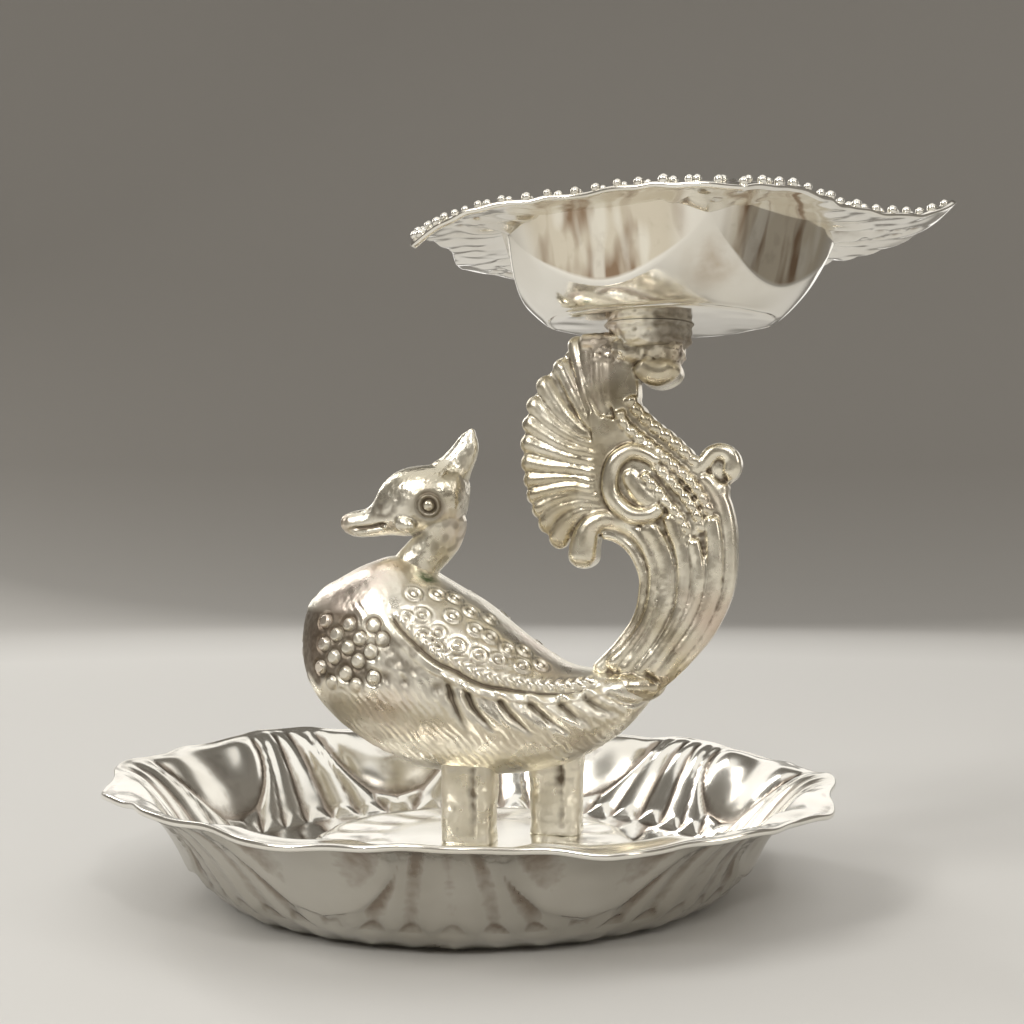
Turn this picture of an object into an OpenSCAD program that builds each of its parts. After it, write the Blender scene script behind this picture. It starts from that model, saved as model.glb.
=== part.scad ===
// Lamp on a standing bird: a pressed plate with a raised centre, a hollow-cast bird on two
// legs, a cast scroll tail, and a five-petalled oil cup on the tail's top.
// Millimetres. The origin is the centre of the plate's underside, +Z is up, the bird faces -X.

/* [Plate] */
// Diameter across the plate's rim
plate_d = 100; // [90:1:110]
// Height of the rim above the table
plate_h = 16.1; // [13:0.1:19]
// Diameter of the ring that the plate stands on
plate_foot_d = 62; // [58:1:66]
// Width of that flat ring
plate_foot_band = 4; // [3:0.5:5]
// Thickness of the plate's sheet
plate_wall = 0.8; // [0.6:0.05:1.2]
// Diameter of the flat top of the raised centre
rosette_d = 42; // [38:1:44]
// Height of the raised centre's top face
rosette_h = 7.2; // [5.5:0.1:9]
// Number of embossed fans round the wall
plate_fans = 8; // [6:1:10]
// Depth of the embossed fans and windows
plate_relief = 0.7; // [0.3:0.05:1]
// Depth of the scallops along the rim
plate_scallop = 1.4; // [0.5:0.1:2]
// Rise of the hand-finished rim towards the bird's head
plate_sway = 0.9; // [0:0.1:1]
// Turn of the first embossed fan from +X
plate_turn = 10; // [0:0.5:45]

/* [Bird] */
// Length of the body from breast to rump
body_l = 50.6; // [46:0.2:56]
// Height of the body from belly to neck joint
body_h = 30.4; // [28:0.2:33]
// Width of the body
body_w = 24.4; // [22:0.2:27]
// Height of the belly above the plate's raised centre
belly_clear = 8.9; // [7:0.1:11]
// Distance from the plate's centre to the front of the breast
breast_x = 24.8; // [23:0.1:27]
// Thickness of the hollow-cast body
body_wall = 1.4; // [1.1:0.1:1.8]
// Height of the crown of the head above the neck joint
head_h = 14.6; // [13:0.1:16]
// Length from the back of the head to the tip of the beak
head_l = 18.6; // [17:0.1:21]
// Width of the head across the eyes
head_w = 10; // [9:0.1:11.4]
// Diameter of each raised eye ring
eye_d = 3.6; // [3:0.1:4.2]

/* [Legs] */
// Width of each leg along the bird
leg_w = 7.6; // [6.6:0.1:8.2]
// Width of each leg across the bird
leg_t = 6; // [5.2:0.1:6.4]
// How far each leg goes up into the belly
leg_socket = 2.6; // [2.4:0.1:3]
// Distance between the leg centres across the bird
leg_spread = 8.4; // [7.6:0.1:9]
// Cut-off at each upright corner of a leg
leg_chamfer = 1.1; // [0.5:0.1:1.4]

/* [Tail] */
// Reach of the scroll tail from the fan's edge to the stem's back
tail_w = 30; // [27:0.5:33]
// Height of the scroll tail from the rump to the boss
tail_h = 46; // [43:0.2:50]
// Distance from the breast to the fan's front edge
fan_x = 31.8; // [30:0.1:34]
// Thickness of the fan's web
fan_t = 2.2; // [1.6:0.1:3]
// Thickness of the stem's flutes
stem_t = 8; // [6:0.1:9.5]
// Number of ribs in the fan
fan_ribs = 13; // [9:1:15]
// Diameter of the roll under the boss
roll_d = 4.4; // [3.6:0.1:5]
// Length of that roll
roll_l = 9; // [7:0.1:11]

/* [Cup] */
// Diameter across opposite petal tips, as twice the tip's radius
cup_tip_d = 75.2; // [68:0.2:80]
// Diameter at the roots of the gutters between petals
cup_pinch_d = 46; // [43:0.2:49]
// Diameter of the cup's flat bottom
cup_bottom_d = 30.6; // [28:0.2:33]
// Diameter of the brim midway between petals
cup_valley_d = 58.4; // [55:0.2:62]
// Height from the cup's bottom to the top of its windows
cup_h = 12.8; // [11:0.1:15]
// Height of the gutter roots
cup_pinch_h = 9.8; // [8.8:0.1:10.4]
// Height of the lowest point of each window
window_low_h = 3.9; // [3.4:0.1:4.6]
// Thickness of the cup's sheet
cup_wall = 0.7; // [0.5:0.05:0.9]
// Distance from the tail's fan edge to the cup's centre
cup_offset = 19.5; // [18.5:0.1:20.2]
// Number of petals
petals = 5; // [5:1:6]
// Turn of the first petal from the viewer's side
petal_turn = 20.3; // [0:0.1:60]

/* [Boss and fasteners] */
// Diameter of the cast boss under the cup
boss_d = 12.4; // [11:0.1:14]
// Height of the boss
boss_h = 3.4; // [3.2:0.1:4.4]
// Diameter of the screws
screw_d = 3; // [2.5:0.1:3.2]
// Diameter of the screw heads
screw_head_d = 5.4; // [4.8:0.1:5.8]
// Height of the screw heads
screw_head_h = 1.6; // [1.2:0.1:1.8]
// Width of the slot in each screw head
screw_slot = 0.8; // [0.5:0.1:1]
// Depth of the slot in each screw head
screw_slot_depth = 0.7; // [0.4:0.1:0.9]
// Length of the cup screw's shank
cup_screw_l = 3.6; // [3.2:0.1:3.8]
// Length of each leg screw's shank
leg_screw_l = 6.5; // [5:0.1:7]
// Diameter of the washers
washer_d = 6.4; // [6:0.1:6.6]
// Thickness of the washers
washer_t = 0.5; // [0.4:0.05:0.6]
// Radial clearance of a screw in its hole
screw_clear = 0.05; // [0.03:0.01:0.1]
// Gap of the soldered joints
solder_gap = 0.05; // [0.03:0.01:0.1]

/* [Hidden] */

silver = [0.80, 0.77, 0.70];
polished = [0.86, 0.84, 0.79];
steel = [0.62, 0.62, 0.63];

overrun = plate_wall;
round_fn = 48;
bead_fn = 12;
tube_sides = 8;

// Heights that follow from the sizes above
belly_z = rosette_h + belly_clear;
rump_z = belly_z + body_h * 0.42;
boss_z = rump_z + tail_h;
cup_z = boss_z + boss_h;
fan_edge_x = fan_x - breast_x;
cup_x = fan_edge_x + cup_offset;
boss_x = cup_x - boss_d * 0.14;
leg_top_z = belly_z + leg_socket;
leg_mid_x = body_l * 0.6067 - breast_x;
leg_stride = body_l * 0.2115;

function clamp01(v) = min(1, max(0, v));
function smooth(v) = let (c = clamp01(v)) c * c * (3 - 2 * c);
function mix(a, b, v) = a + (b - a) * v;

// Closed skin over rings of points: each ring joins the next, flat caps close the ends
module skin(rings) {
    n = len(rings[0]);
    last = len(rings) - 1;
    sides = [
        for (i = [0:last - 1], j = [0:n - 1])
            let (a = i * n + j, b = i * n + (j + 1) % n)
                each [[a, b, b + n], [a, b + n, a + n]]
    ];
    first_cap = [for (j = [n - 1:-1:0]) j];
    last_cap = [for (j = [0:n - 1]) last * n + j];
    polyhedron([for (ring = rings) each ring], concat([first_cap], sides, [last_cap]));
}

// Tube along a path in the X-Z plane: half_w across the path in that plane, half_t along Y
function path_turn(path, i) =
    let (a = path[max(i - 1, 0)], b = path[min(i + 1, len(path) - 1)])
        atan2(b[1] - a[1], b[0] - a[0]);

function tube_ring(path, i, half_w, half_t, y, sides) =
    let (turn = path_turn(path, i))
        [for (j = [0:sides - 1])
            let (a = (j + 0.5) * 360 / sides, across = half_w * cos(a))
                [path[i][0] - across * sin(turn), y + half_t * sin(a), path[i][1] + across * cos(turn)]];

module tube(path, half_ws, half_ts, y = 0, sides = tube_sides)
    skin([for (i = [0:len(path) - 1]) tube_ring(path, i, half_ws[i], half_ts[i], y, sides)]);

// Plate: the sheet's upper face is a list of rings, and its underside lies one wall below
plate_columns = plate_fans * 12;
wall_r_shares = [0.12, 0.25, 0.37, 0.49, 0.63, 0.80, 1];
wall_z_shares = [0.03, 0.11, 0.25, 0.45, 0.68, 0.88, 1];
wall_relief_shares = [0.2, 0.8, 1, 1, 0.8, 0.4, 0];

// Relief round one fan pitch: three ribs across the fan, then one smooth window
function fan_wave(turn) =
    let (u = 1 - abs((turn * plate_fans / 360) % 1 * 2 - 1))
        u < 0.5 ? cos(1080 * u) : 0.9 * cos(360 * u) * -1 - 0.1;

function scallop(turn) = plate_scallop * (0.5 - 0.5 * cos(turn * plate_fans * 2));

function wall_ring(k) =
    let (foot_r = plate_foot_d / 2, share = wall_r_shares[k])
        [for (j = [0:plate_columns - 1])
            let (turn = j * 360 / plate_columns,
                 r = mix(foot_r, plate_d / 2 - scallop(turn), share),
                 lift = plate_relief * wall_relief_shares[k] * fan_wave(turn)
                      + pow(share, 3) * (plate_scallop * 0.3 * cos(turn * plate_fans)
                                       - plate_sway * cos(turn + plate_turn)),
                 z = (plate_h - plate_wall) * wall_z_shares[k] + lift)
                [r * cos(turn), r * sin(turn), z]];

function round_ring(r, z, lobes = 0) =
    [for (j = [0:plate_columns - 1])
        let (turn = j * 360 / plate_columns, rr = r + lobes * cos(turn * plate_fans * 2))
            [rr * cos(turn), rr * sin(turn), z]];

plate_underside =
    let (foot_r = plate_foot_d / 2, inner_r = foot_r - plate_foot_band, top_r = rosette_d / 2,
         top_z = rosette_h - plate_wall, step = inner_r - top_r)
        concat(
            [round_ring(top_r, top_z),
             round_ring(top_r + step * 0.3, top_z * 0.86, plate_relief / 2),
             round_ring(top_r + step * 0.65, top_z * 0.36, plate_relief / 2),
             round_ring(inner_r, 0),
             round_ring(foot_r, 0)],
            [for (k = [0:len(wall_r_shares) - 1]) wall_ring(k)]);

function lifted(rings, lift) = [for (ring = rings) [for (p = ring) p + [0, 0, lift]]];
function reversed(list) = [for (i = [len(list) - 1:-1:0]) list[i]];

module at_legs() {
    for (side = [-1, 1])
        translate([leg_mid_x + side * leg_stride / 2, side * leg_spread / 2, 0]) children();
}

module base_plate() {
    color(polished) difference() {
        rotate([0, 0, plate_turn])
            skin(concat(lifted(plate_underside, plate_wall), reversed(plate_underside)));
        at_legs() translate([0, 0, rosette_h - plate_wall - overrun])
            cylinder(h = plate_wall + 2 * overrun, d = screw_d + 2 * screw_clear, $fn = round_fn);
    }
}

// Legs: blocky cast posts, a little wider at the top, each with a blind tapped hole below
function leg_outline(w, t) =
    let (x = w / 2, y = t / 2, c = leg_chamfer)
        [[-x, -y + c], [-x + c, -y], [x - c, -y], [x, -y + c],
         [x, y - c], [x - c, y], [-x + c, y], [-x, y - c]];

function leg_ring(share, z) = [for (p = leg_outline(leg_w * share, leg_t * share)) [p[0], p[1], z]];

module leg() {
    difference() {
        skin([leg_ring(1, leg_top_z), leg_ring(0.94, mix(rosette_h, leg_top_z, 0.5)),
              leg_ring(0.92, rosette_h)]);
        translate([0, 0, rosette_h - overrun])
            cylinder(h = leg_screw_l + overrun, d = screw_d + 2 * screw_clear, $fn = round_fn);
    }
}

module left_leg() {
    color(silver) translate([leg_mid_x - leg_stride / 2, -leg_spread / 2, 0]) leg();
}

module right_leg() {
    color(silver) translate([leg_mid_x + leg_stride / 2, leg_spread / 2, 0]) leg();
}

// Body: stations from breast to rump, each with its top and bottom height and half width
station_x_shares = [0, 0.016, 0.05, 0.115, 0.194, 0.273, 0.33, 0.38, 0.445, 0.52, 0.605,
                    0.685, 0.767, 0.846, 0.925, 0.974, 1];
station_top_shares = [0.64, 0.75, 0.83, 0.90, 0.965, 1, 0.975, 0.925, 0.862, 0.79, 0.68,
                      0.58, 0.505, 0.485, 0.47, 0.45, 0.42];
station_bottom_shares = [0.51, 0.434, 0.34, 0.227, 0.135, 0.07, 0.035, 0.015, 0.003, 0, 0.002,
                         0.023, 0.06, 0.128, 0.227, 0.32, 0.38];
station_w_shares = [0.12, 0.34, 0.56, 0.77, 0.90, 0.97, 0.99, 1, 1, 0.975, 0.925,
                    0.845, 0.74, 0.61, 0.44, 0.29, 0.14];
arc_steps = 12;

function table(shares) = [for (i = [0:len(shares) - 1]) [station_x_shares[i], shares[i]]];
function body_top(x) = belly_z + body_h * lookup(x, table(station_top_shares));
function body_bottom(x) = belly_z + body_h * lookup(x, table(station_bottom_shares));
function body_half_w(x) = body_w / 2 * lookup(x, table(station_w_shares));

// Half width of the section at a height, widest a little below the middle
function side_y(x, z) =
    let (top = body_top(x), low = body_bottom(x), mid = mix(low, top, 0.46),
         v = z > mid ? (z - mid) / (top - mid) : (mid - z) / (mid - low))
        body_half_w(x) * pow(max(0, 1 - pow(clamp01(v), 2.2)), 1 / 2.2);

function half_section(x, inset) =
    let (top = body_top(x) - inset, low = body_bottom(x) + inset, mid = mix(low, top, 0.46),
         w = body_half_w(x) - inset)
        [for (j = [0:arc_steps])
            let (a = 90 - j * 180 / arc_steps, c = pow(cos(a), 0.91), s = pow(abs(sin(a)), 0.91))
                [x * body_l - breast_x, -w * c, a > 0 ? mid + (top - mid) * s : mid - (mid - low) * s]];

function full_section(x, inset) =
    let (half = half_section(x, inset))
        concat(half, [for (j = [arc_steps - 1:-1:1]) [half[j][0], -half[j][1], half[j][2]]]);

// Flat lands where the neck and the tail are soldered on
neck_front_x = -breast_x + body_l * 0.225;
neck_back_x = -breast_x + body_l * 0.375;
neck_front_z = belly_z + body_h * 0.99;
neck_back_z = belly_z + body_h * 0.905;
neck_tilt = atan2(neck_front_z - neck_back_z, neck_back_x - neck_front_x);
neck_mid_x = (neck_front_x + neck_back_x) / 2;
neck_mid_z = (neck_front_z + neck_back_z) / 2;
tail_front_x = -breast_x + body_l * 0.80;
tail_tilt = 11;

module above_neck_joint() {
    translate([neck_mid_x, 0, neck_mid_z]) rotate([0, neck_tilt, 0])
        translate([-body_w / 2, -body_w / 2, 0]) cube([body_w, body_w, body_h]);
}

module above_tail_joint() {
    translate([tail_front_x, 0, rump_z + body_h * 0.055]) rotate([0, tail_tilt, 0])
        translate([-body_l * 0.01, -body_w, 0]) cube([body_l / 2, 2 * body_w, 2 * tail_h]);
}

feathers = 8;
feather_r = body_h * 0.032;

// Raised strands that slant down and back from the wing band
module flank_feathers() {
    for (i = [0:feathers - 1])
        let (x0 = 0.30 + i * 0.058, x1 = x0 + 0.10, z0 = belly_z + body_h * (0.46 - i * 0.006),
             z1 = max(body_bottom(min(x1, 0.93)) + body_h * 0.10, z0 - body_h * 0.20))
            hull() {
                translate([x0 * body_l - breast_x, feather_r * 0.45 - side_y(x0, z0), z0])
                    sphere(feather_r, $fn = bead_fn);
                translate([x1 * body_l - breast_x, feather_r * 0.45 - side_y(x1, z1), z1])
                    sphere(feather_r * 0.8, $fn = bead_fn);
            }
}

band_steps = 14;
band_r = body_h * 0.026;

// Band along the wing's lower edge, from the shoulder down to the rump
function band_z(v) = belly_z + body_h * (0.42 + 0.36 * pow(1 - v, 2.2));

module wing_band() {
    skin([for (i = [0:band_steps])
        let (v = i / band_steps, x = mix(0.25, 0.94, v), z = band_z(v), y = band_r * 0.3 - side_y(x, z))
            [for (j = [0:5])
                let (a = j * 60)
                    [x * body_l - breast_x, y + band_r * cos(a), z - band_r * 1.3 * sin(a)]]]);
}

module leg_socket_cut() {
    translate([-leg_w / 2 - solder_gap, -leg_t / 2 - solder_gap, rosette_h])
        cube([leg_w + 2 * solder_gap, leg_t + 2 * solder_gap, leg_top_z - rosette_h + solder_gap]);
}

module half_body(leg_side) {
    difference() {
        union() {
            skin([for (x = reversed(station_x_shares)) half_section(x, 0)]);
            flank_feathers();
            wing_band();
        }
        skin([for (i = [len(station_x_shares) - 3:-2:2]) full_section(station_x_shares[i], body_wall)]);
        translate([-body_l, -solder_gap / 2, 0]) cube([2 * body_l, body_w, boss_z]);
        above_neck_joint();
        above_tail_joint();
        translate([leg_mid_x + leg_side * leg_stride / 2, -leg_spread / 2, 0]) leg_socket_cut();
    }
}

module body_left_shell() {
    color(silver) half_body(-1);
}

module body_right_shell() {
    color(silver) mirror([0, 1, 0]) half_body(1);
}

// Head: stations from the nape to the beak's tip, as shares of the head's own size
head_x_shares = [0, 0.03, 0.11, 0.23, 0.36, 0.5, 0.61, 0.705, 0.76, 0.85, 0.935, 1];
head_top_shares = [0.83, 0.915, 0.97, 0.995, 0.985, 0.955, 0.875, 0.715, 0.65, 0.585, 0.54, 0.475];
head_low_shares = [0.69, 0.50, 0.38, 0.32, 0.30, 0.30, 0.31, 0.315, 0.315, 0.295, 0.335, 0.395];
head_w_shares = [0.3, 0.6, 0.86, 1, 1, 0.88, 0.70, 0.54, 0.50, 0.48, 0.40, 0.18];
neck_x_shares = [0.50, 0.44, 0.325, 0.24, 0.21, 0.21];
neck_z_shares = [-0.10, 0.03, 0.155, 0.30, 0.48, 0.62];
neck_thick_shares = [0.225, 0.205, 0.188, 0.198, 0.21, 0.18];
head_sides = 18;
head_back_x = neck_back_x + body_l * 0.10;
head_base_z = neck_mid_z;

function head_x(share) = head_back_x - share * head_l;
function head_z(share) = head_base_z + share * head_h;

function head_ring(i) =
    let (top = head_z(head_top_shares[i]), low = head_z(head_low_shares[i]))
        [for (j = [0:head_sides - 1])
            let (a = j * 360 / head_sides)
                [head_x(head_x_shares[i]), head_w / 2 * head_w_shares[i] * sin(a),
                 (top + low) / 2 - (top - low) / 2 * cos(a)]];

neck_path = [for (i = [0:len(neck_x_shares) - 1]) [head_x(neck_x_shares[i]), head_z(neck_z_shares[i])]];

// A short round-ended bar between two points, thick at the first and thin at the second
module bar(a, ra, b, rb) {
    hull() {
        translate(a) sphere(ra, $fn = bead_fn);
        translate(b) sphere(rb, $fn = bead_fn);
    }
}

module crest() {
    root = [head_x(0.28), 0, head_z(0.93)];
    middle = [head_x(0.10), 0, head_z(1.11)];
    tip = [head_x(-0.045), 0, head_z(1.31)];
    nape = [head_x(0.04), 0, head_z(0.90)];
    hull() {
        translate(root) sphere(head_w * 0.10, $fn = bead_fn);
        translate(middle) sphere(head_w * 0.10, $fn = bead_fn);
        translate(nape) sphere(head_w * 0.12, $fn = bead_fn);
    }
    hull() {
        translate(middle) sphere(head_w * 0.10, $fn = bead_fn);
        translate(nape) sphere(head_w * 0.12, $fn = bead_fn);
        translate(tip) sphere(head_w * 0.05, $fn = bead_fn);
        translate([head_x(-0.045), 0, head_z(1.12)]) sphere(head_w * 0.06, $fn = bead_fn);
    }
}

module face_side() {
    eye = [head_x(0.275), -head_w * 0.465, head_z(0.61)];
    hull() {
        translate(eye) rotate([80, 0, 0]) cylinder(h = eye_d * 0.16, d = eye_d, $fn = bead_fn * 2);
        translate(eye + [0, head_w * 0.1, 0]) sphere(eye_d * 0.4, $fn = bead_fn);
    }
    translate(eye - [0, eye_d * 0.1, 0]) sphere(eye_d * 0.2, $fn = bead_fn);
    bar([head_x(0.57), -head_w * 0.26, head_z(0.43)], head_w * 0.10,
        [head_x(0.42), -head_w * 0.40, head_z(0.39)], head_w * 0.09);
    bar([head_x(0.70), -head_w * 0.18, head_z(0.60)], head_w * 0.09,
        [head_x(0.64), -head_w * 0.22, head_z(0.66)], head_w * 0.08);
    bar([head_x(0.92), -head_w * 0.08, head_z(0.34)], head_w * 0.08,
        [head_x(0.66), -head_w * 0.22, head_z(0.36)], head_w * 0.08);
}

module head_and_neck() {
    color(silver) difference() {
        union() {
            skin([for (i = [0:len(head_x_shares) - 1]) head_ring(i)]);
            tube(neck_path, neck_thick_shares * head_l, neck_thick_shares * head_l, sides = head_sides);
            crest();
            for (side = [0, 1]) mirror([0, side, 0]) face_side();
        }
        translate([neck_mid_x, 0, neck_mid_z + solder_gap]) rotate([0, neck_tilt, 0])
            translate([-body_w, -body_w, -body_h]) cube([2 * body_w, 2 * body_w, body_h]);
    }
}

// Tail: each line of the scroll is a list of shares of the tail's reach and height
function tail_point(p) = [fan_edge_x + p[0] * tail_w, rump_z + p[1] * tail_h];
function tail_path(shares) = [for (p = shares) tail_point(p)];
function even(list, value) = [for (p = list) value];

band_shares = [[0.60, -0.02], [0.72, 0.05], [0.825, 0.12], [0.90, 0.20], [0.95, 0.29],
               [0.965, 0.39], [0.965, 0.48], [0.945, 0.57], [0.92, 0.63]];
outer_shares = [[0.55, -0.02], [0.66, 0.045], [0.76, 0.12], [0.835, 0.20], [0.88, 0.29],
                [0.885, 0.38], [0.87, 0.47], [0.82, 0.56], [0.735, 0.63], [0.625, 0.69],
                [0.515, 0.75], [0.44, 0.80]];
middle_shares = [[0.49, -0.01], [0.59, 0.055], [0.685, 0.13], [0.755, 0.21], [0.79, 0.30],
                 [0.785, 0.39], [0.75, 0.48], [0.68, 0.55], [0.60, 0.60]];
inner_shares = [[0.425, 0.0], [0.53, 0.075], [0.61, 0.14], [0.67, 0.22], [0.70, 0.30],
                [0.69, 0.39], [0.655, 0.46], [0.60, 0.51]];
finger_shares = [[0.37, 0.01], [0.455, 0.08], [0.54, 0.16], [0.59, 0.24], [0.60, 0.32],
                 [0.56, 0.395], [0.48, 0.445], [0.385, 0.465], [0.325, 0.43], [0.295, 0.37]];
neck_rope_shares = [[0.83, 0.645], [0.72, 0.715], [0.595, 0.79], [0.52, 0.845], [0.49, 0.91],
                    [0.49, 1.03]];
fan_pivot_share = [0.397, 0.672];
fan_start_turn = 246;
fan_end_turn = 104;

// Reach of the fan's edge from its pivot at each turn, as shares of the tail's reach
fan_reach_shares = [[100, 0.585], [108, 0.54], [119, 0.49], [133, 0.46], [152, 0.423], [169, 0.407],
                    [189, 0.397], [210, 0.407], [224, 0.423], [236, 0.457], [250, 0.463]];
fan_web_shares = [[0.46, 0.45], [0.64, 0.55], [0.78, 0.64], [0.71, 0.72], [0.60, 0.79], [0.52, 0.84],
                  [0.53, 1.03], [0.40, 1.03]];

function fan_reach(turn) = tail_w * lookup(turn, fan_reach_shares);

module fan() {
    pivot = tail_point(fan_pivot_share);
    step = (fan_start_turn - fan_end_turn) / (fan_ribs - 1);
    for (i = [0:fan_ribs - 1])
        let (turn = fan_end_turn + i * step, rib_r = fan_reach(turn) * sin(step / 2) * 1.12,
             reach = fan_reach(turn) - rib_r, root = fan_reach(turn) * 0.3)
            hull() {
                translate([pivot[0] + reach * cos(turn), 0, pivot[1] + reach * sin(turn)])
                    sphere(rib_r, $fn = bead_fn);
                translate([pivot[0] + root * cos(turn), 0, pivot[1] + root * sin(turn)])
                    sphere(fan_t * 0.55, $fn = bead_fn);
            }
    edge = [for (turn = [fan_end_turn:step:fan_start_turn])
        pivot + 0.88 * fan_reach(turn) * [cos(turn), sin(turn)]];
    translate([0, fan_t / 2, 0]) rotate([90, 0, 0]) linear_extrude(fan_t)
        polygon(concat(edge, tail_path(fan_web_shares)));
}

// Web between the flutes, from the band at the back to the finger at the front
module stem_web() {
    outline = concat(band_shares, [[0.83, 0.655], [0.735, 0.66], [0.56, 0.60], [0.50, 0.53]],
                     [for (i = [6:-1:0]) finger_shares[i]]);
    translate([0, fan_t, 0]) rotate([90, 0, 0]) linear_extrude(2 * fan_t) polygon(tail_path(outline));
}

module flute(shares, width, thick)
    tube(tail_path(shares), even(shares, width / 2), even(shares, thick / 2));

loop_steps = 14;

// Open loop with a tongue inside it, at the middle of the scroll
module loop() {
    centre = tail_point([0.535, 0.60]);
    path = [for (i = [0:loop_steps])
        let (a = 60 + 255 * i / loop_steps)
            centre + [tail_w * 0.125 * cos(a), tail_h * 0.085 * sin(a)]];
    tube(path, even(path, tail_w * 0.03), even(path, stem_t / 2), sides = tube_sides);
    tongue = [centre + tail_w * [-0.03, 0.045], centre + tail_w * [0.04, -0.01], centre + tail_w * [0.10, -0.07]];
    tube(tongue, tail_w * [0.02, 0.05, 0.03], even(tongue, stem_t * 0.42));
}

// Curled ends: the knob behind the stem, the finger's tip and the roll below the boss
module curls() {
    knob = tail_point([0.94, 0.665]);
    translate([knob[0], 0, knob[1]]) rotate([90, 0, 0])
        cylinder(h = stem_t * 0.8, d = tail_w * 0.13, center = true, $fn = 16);
    link = tail_point([0.86, 0.63]);
    bar([link[0], 0, link[1]], tail_w * 0.05, [knob[0], 0, knob[1] - tail_w * 0.02], tail_w * 0.04);
    finger = tail_point([0.29, 0.365]);
    translate([finger[0], 0, finger[1]]) sphere(tail_w * 0.072, $fn = 16);
    roll = [tail_point([0.625, 0])[0], boss_z - roll_d / 2];
    translate([roll[0], 0, roll[1]]) rotate([90, 0, 0])
        cylinder(h = roll_l, d = roll_d, center = true, $fn = 16);
    hull() {
        translate([roll[0] - roll_d * 0.9, 0, roll[1]]) sphere(roll_d / 2, $fn = bead_fn);
        translate([roll[0], 0, roll[1] + roll_d * 0.1]) sphere(roll_d * 0.4, $fn = bead_fn);
    }
}

module scroll_tail() {
    color(silver) difference() {
        union() {
            fan();
            stem_web();
            flute(band_shares, tail_w * 0.07, stem_t * 0.8);
            flute(outer_shares, tail_w * 0.105, stem_t);
            flute(middle_shares, tail_w * 0.115, stem_t);
            flute(inner_shares, tail_w * 0.11, stem_t);
            flute(finger_shares, tail_w * 0.11, stem_t * 0.9);
            flute(neck_rope_shares, tail_w * 0.085, stem_t * 0.9);
            loop();
            curls();
        }
        translate([boss_x - boss_d * 0.53, -tail_w, boss_z]) cube([2 * tail_w, 2 * tail_w, tail_h]);
        translate([tail_front_x, 0, rump_z + body_h * 0.055 + solder_gap]) rotate([0, tail_tilt, 0])
            translate([-body_l, -body_w, -body_h]) cube([2 * body_l, 2 * body_w, body_h]);
    }
}

// Boss: a cast pad on the tail's top, tapped for the cup's screw
module cup_boss() {
    color(silver) difference() {
        translate([boss_x, 0, boss_z + solder_gap])
            cylinder(h = boss_h - 2 * solder_gap, d1 = boss_d * 0.9, d2 = boss_d, $fn = round_fn);
        translate([cup_x, 0, cup_z - cup_screw_l + washer_t + cup_wall - solder_gap])
            cylinder(h = cup_screw_l, d = screw_d + 2 * screw_clear, $fn = round_fn);
    }
}

// Cup: rings from the middle of the bottom out to the brim's edge. A column's turn is counted
// from the nearest spout, whose gutter notches the wall; the windows lie between the spouts.
petal_half = 180 / petals;
corner_turn = petal_half * 0.367;
column_turn_shares = [-1, -0.873, -0.747, -0.62, -0.493, -0.367, -0.244, -0.122,
                      0, 0.122, 0.244, 0.367, 0.493, 0.62, 0.747, 0.873];
tip_lift_shares = [-0.18, 0.19, 0.06, 0.09, -0.36, 0];
edge_h = cup_h * 0.975;
corner_r = cup_pinch_d * 0.485;

function bowl_r(z) = lookup(z / cup_pinch_h,
    [[0, cup_bottom_d / 2], [0.09, mix(cup_bottom_d, cup_pinch_d, 0.15) / 2],
     [0.36, mix(cup_bottom_d, cup_pinch_d, 0.5) / 2], [0.7, mix(cup_bottom_d, cup_pinch_d, 0.8) / 2],
     [1, cup_pinch_d / 2]]);
function window_foot(d) = mix(cup_pinch_h, window_low_h, sin(90 * pow(d / petal_half, 0.75)));
function window_top(d) = mix(cup_pinch_h, cup_h, clamp01(d / corner_turn));
function top_r(d) = d < corner_turn
    ? mix(cup_pinch_d / 2, corner_r, d / corner_turn)
    : corner_r * cos(petal_half - corner_turn) / cos(petal_half - d);
function brim_r(d) = mix(cup_valley_d, cup_tip_d, pow(1 - d / petal_half, 1.5)) / 2;
function brim_z(d, lift) = edge_h + lift * cup_h * pow(1 - d / petal_half, 2);

function cup_point(turn, r, z) = [r * sin(turn + petal_turn), -r * cos(turn + petal_turn), z];

brim_ring_shares = [0.1, 0.28, 0.52, 0.78, 1];
last_cup_ring = 6 + len(brim_ring_shares);

// Ring k at the sheet's inner face for out = 0, and at its outer face for out = 1. Each spot
// holds r, z and the way to the outer face, across and down, in walls.
function cup_ring(k, out) =
    [for (petal = [0:petals - 1], turn_share = column_turn_shares)
        let (d = abs(turn_share) * petal_half, foot = window_foot(d), top = window_top(d),
             foot_r = min(bowl_r(foot), top_r(d)), up_r = top_r(d),
             edge_r = brim_r(d), edge_z = brim_z(d, tip_lift_shares[petal]),
             spot = k == 0 ? [cup_bottom_d * 0.46, 0, 0, 1]
                  : k == 1 ? [cup_bottom_d * 0.5, foot * 0.05, 0.5, 0.9]
                  : k == 2 ? [bowl_r(foot * 0.3), foot * 0.3, 0.8, 0.6]
                  : k == 3 ? [bowl_r(foot * 0.7), foot * 0.7, 0.9, 0.4]
                  : k == 4 ? [foot_r, foot, 1, 0.2]
                  : k == 5 ? [mix(foot_r, up_r, 0.5), mix(foot, top, 0.5), 1, 0.3]
                  : k == 6 ? [up_r, top, 0.8, 0.8]
                  : let (v = brim_ring_shares[k - 7])
                      [mix(up_r, edge_r, v), mix(top, edge_z, 1 - pow(1 - v, 3)), 0, 1])
            cup_point(2 * petal_half * petal + turn_share * petal_half,
                      spot[0] + out * cup_wall * spot[2], spot[1] + cup_wall * (1 - out * spot[3]))];

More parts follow.
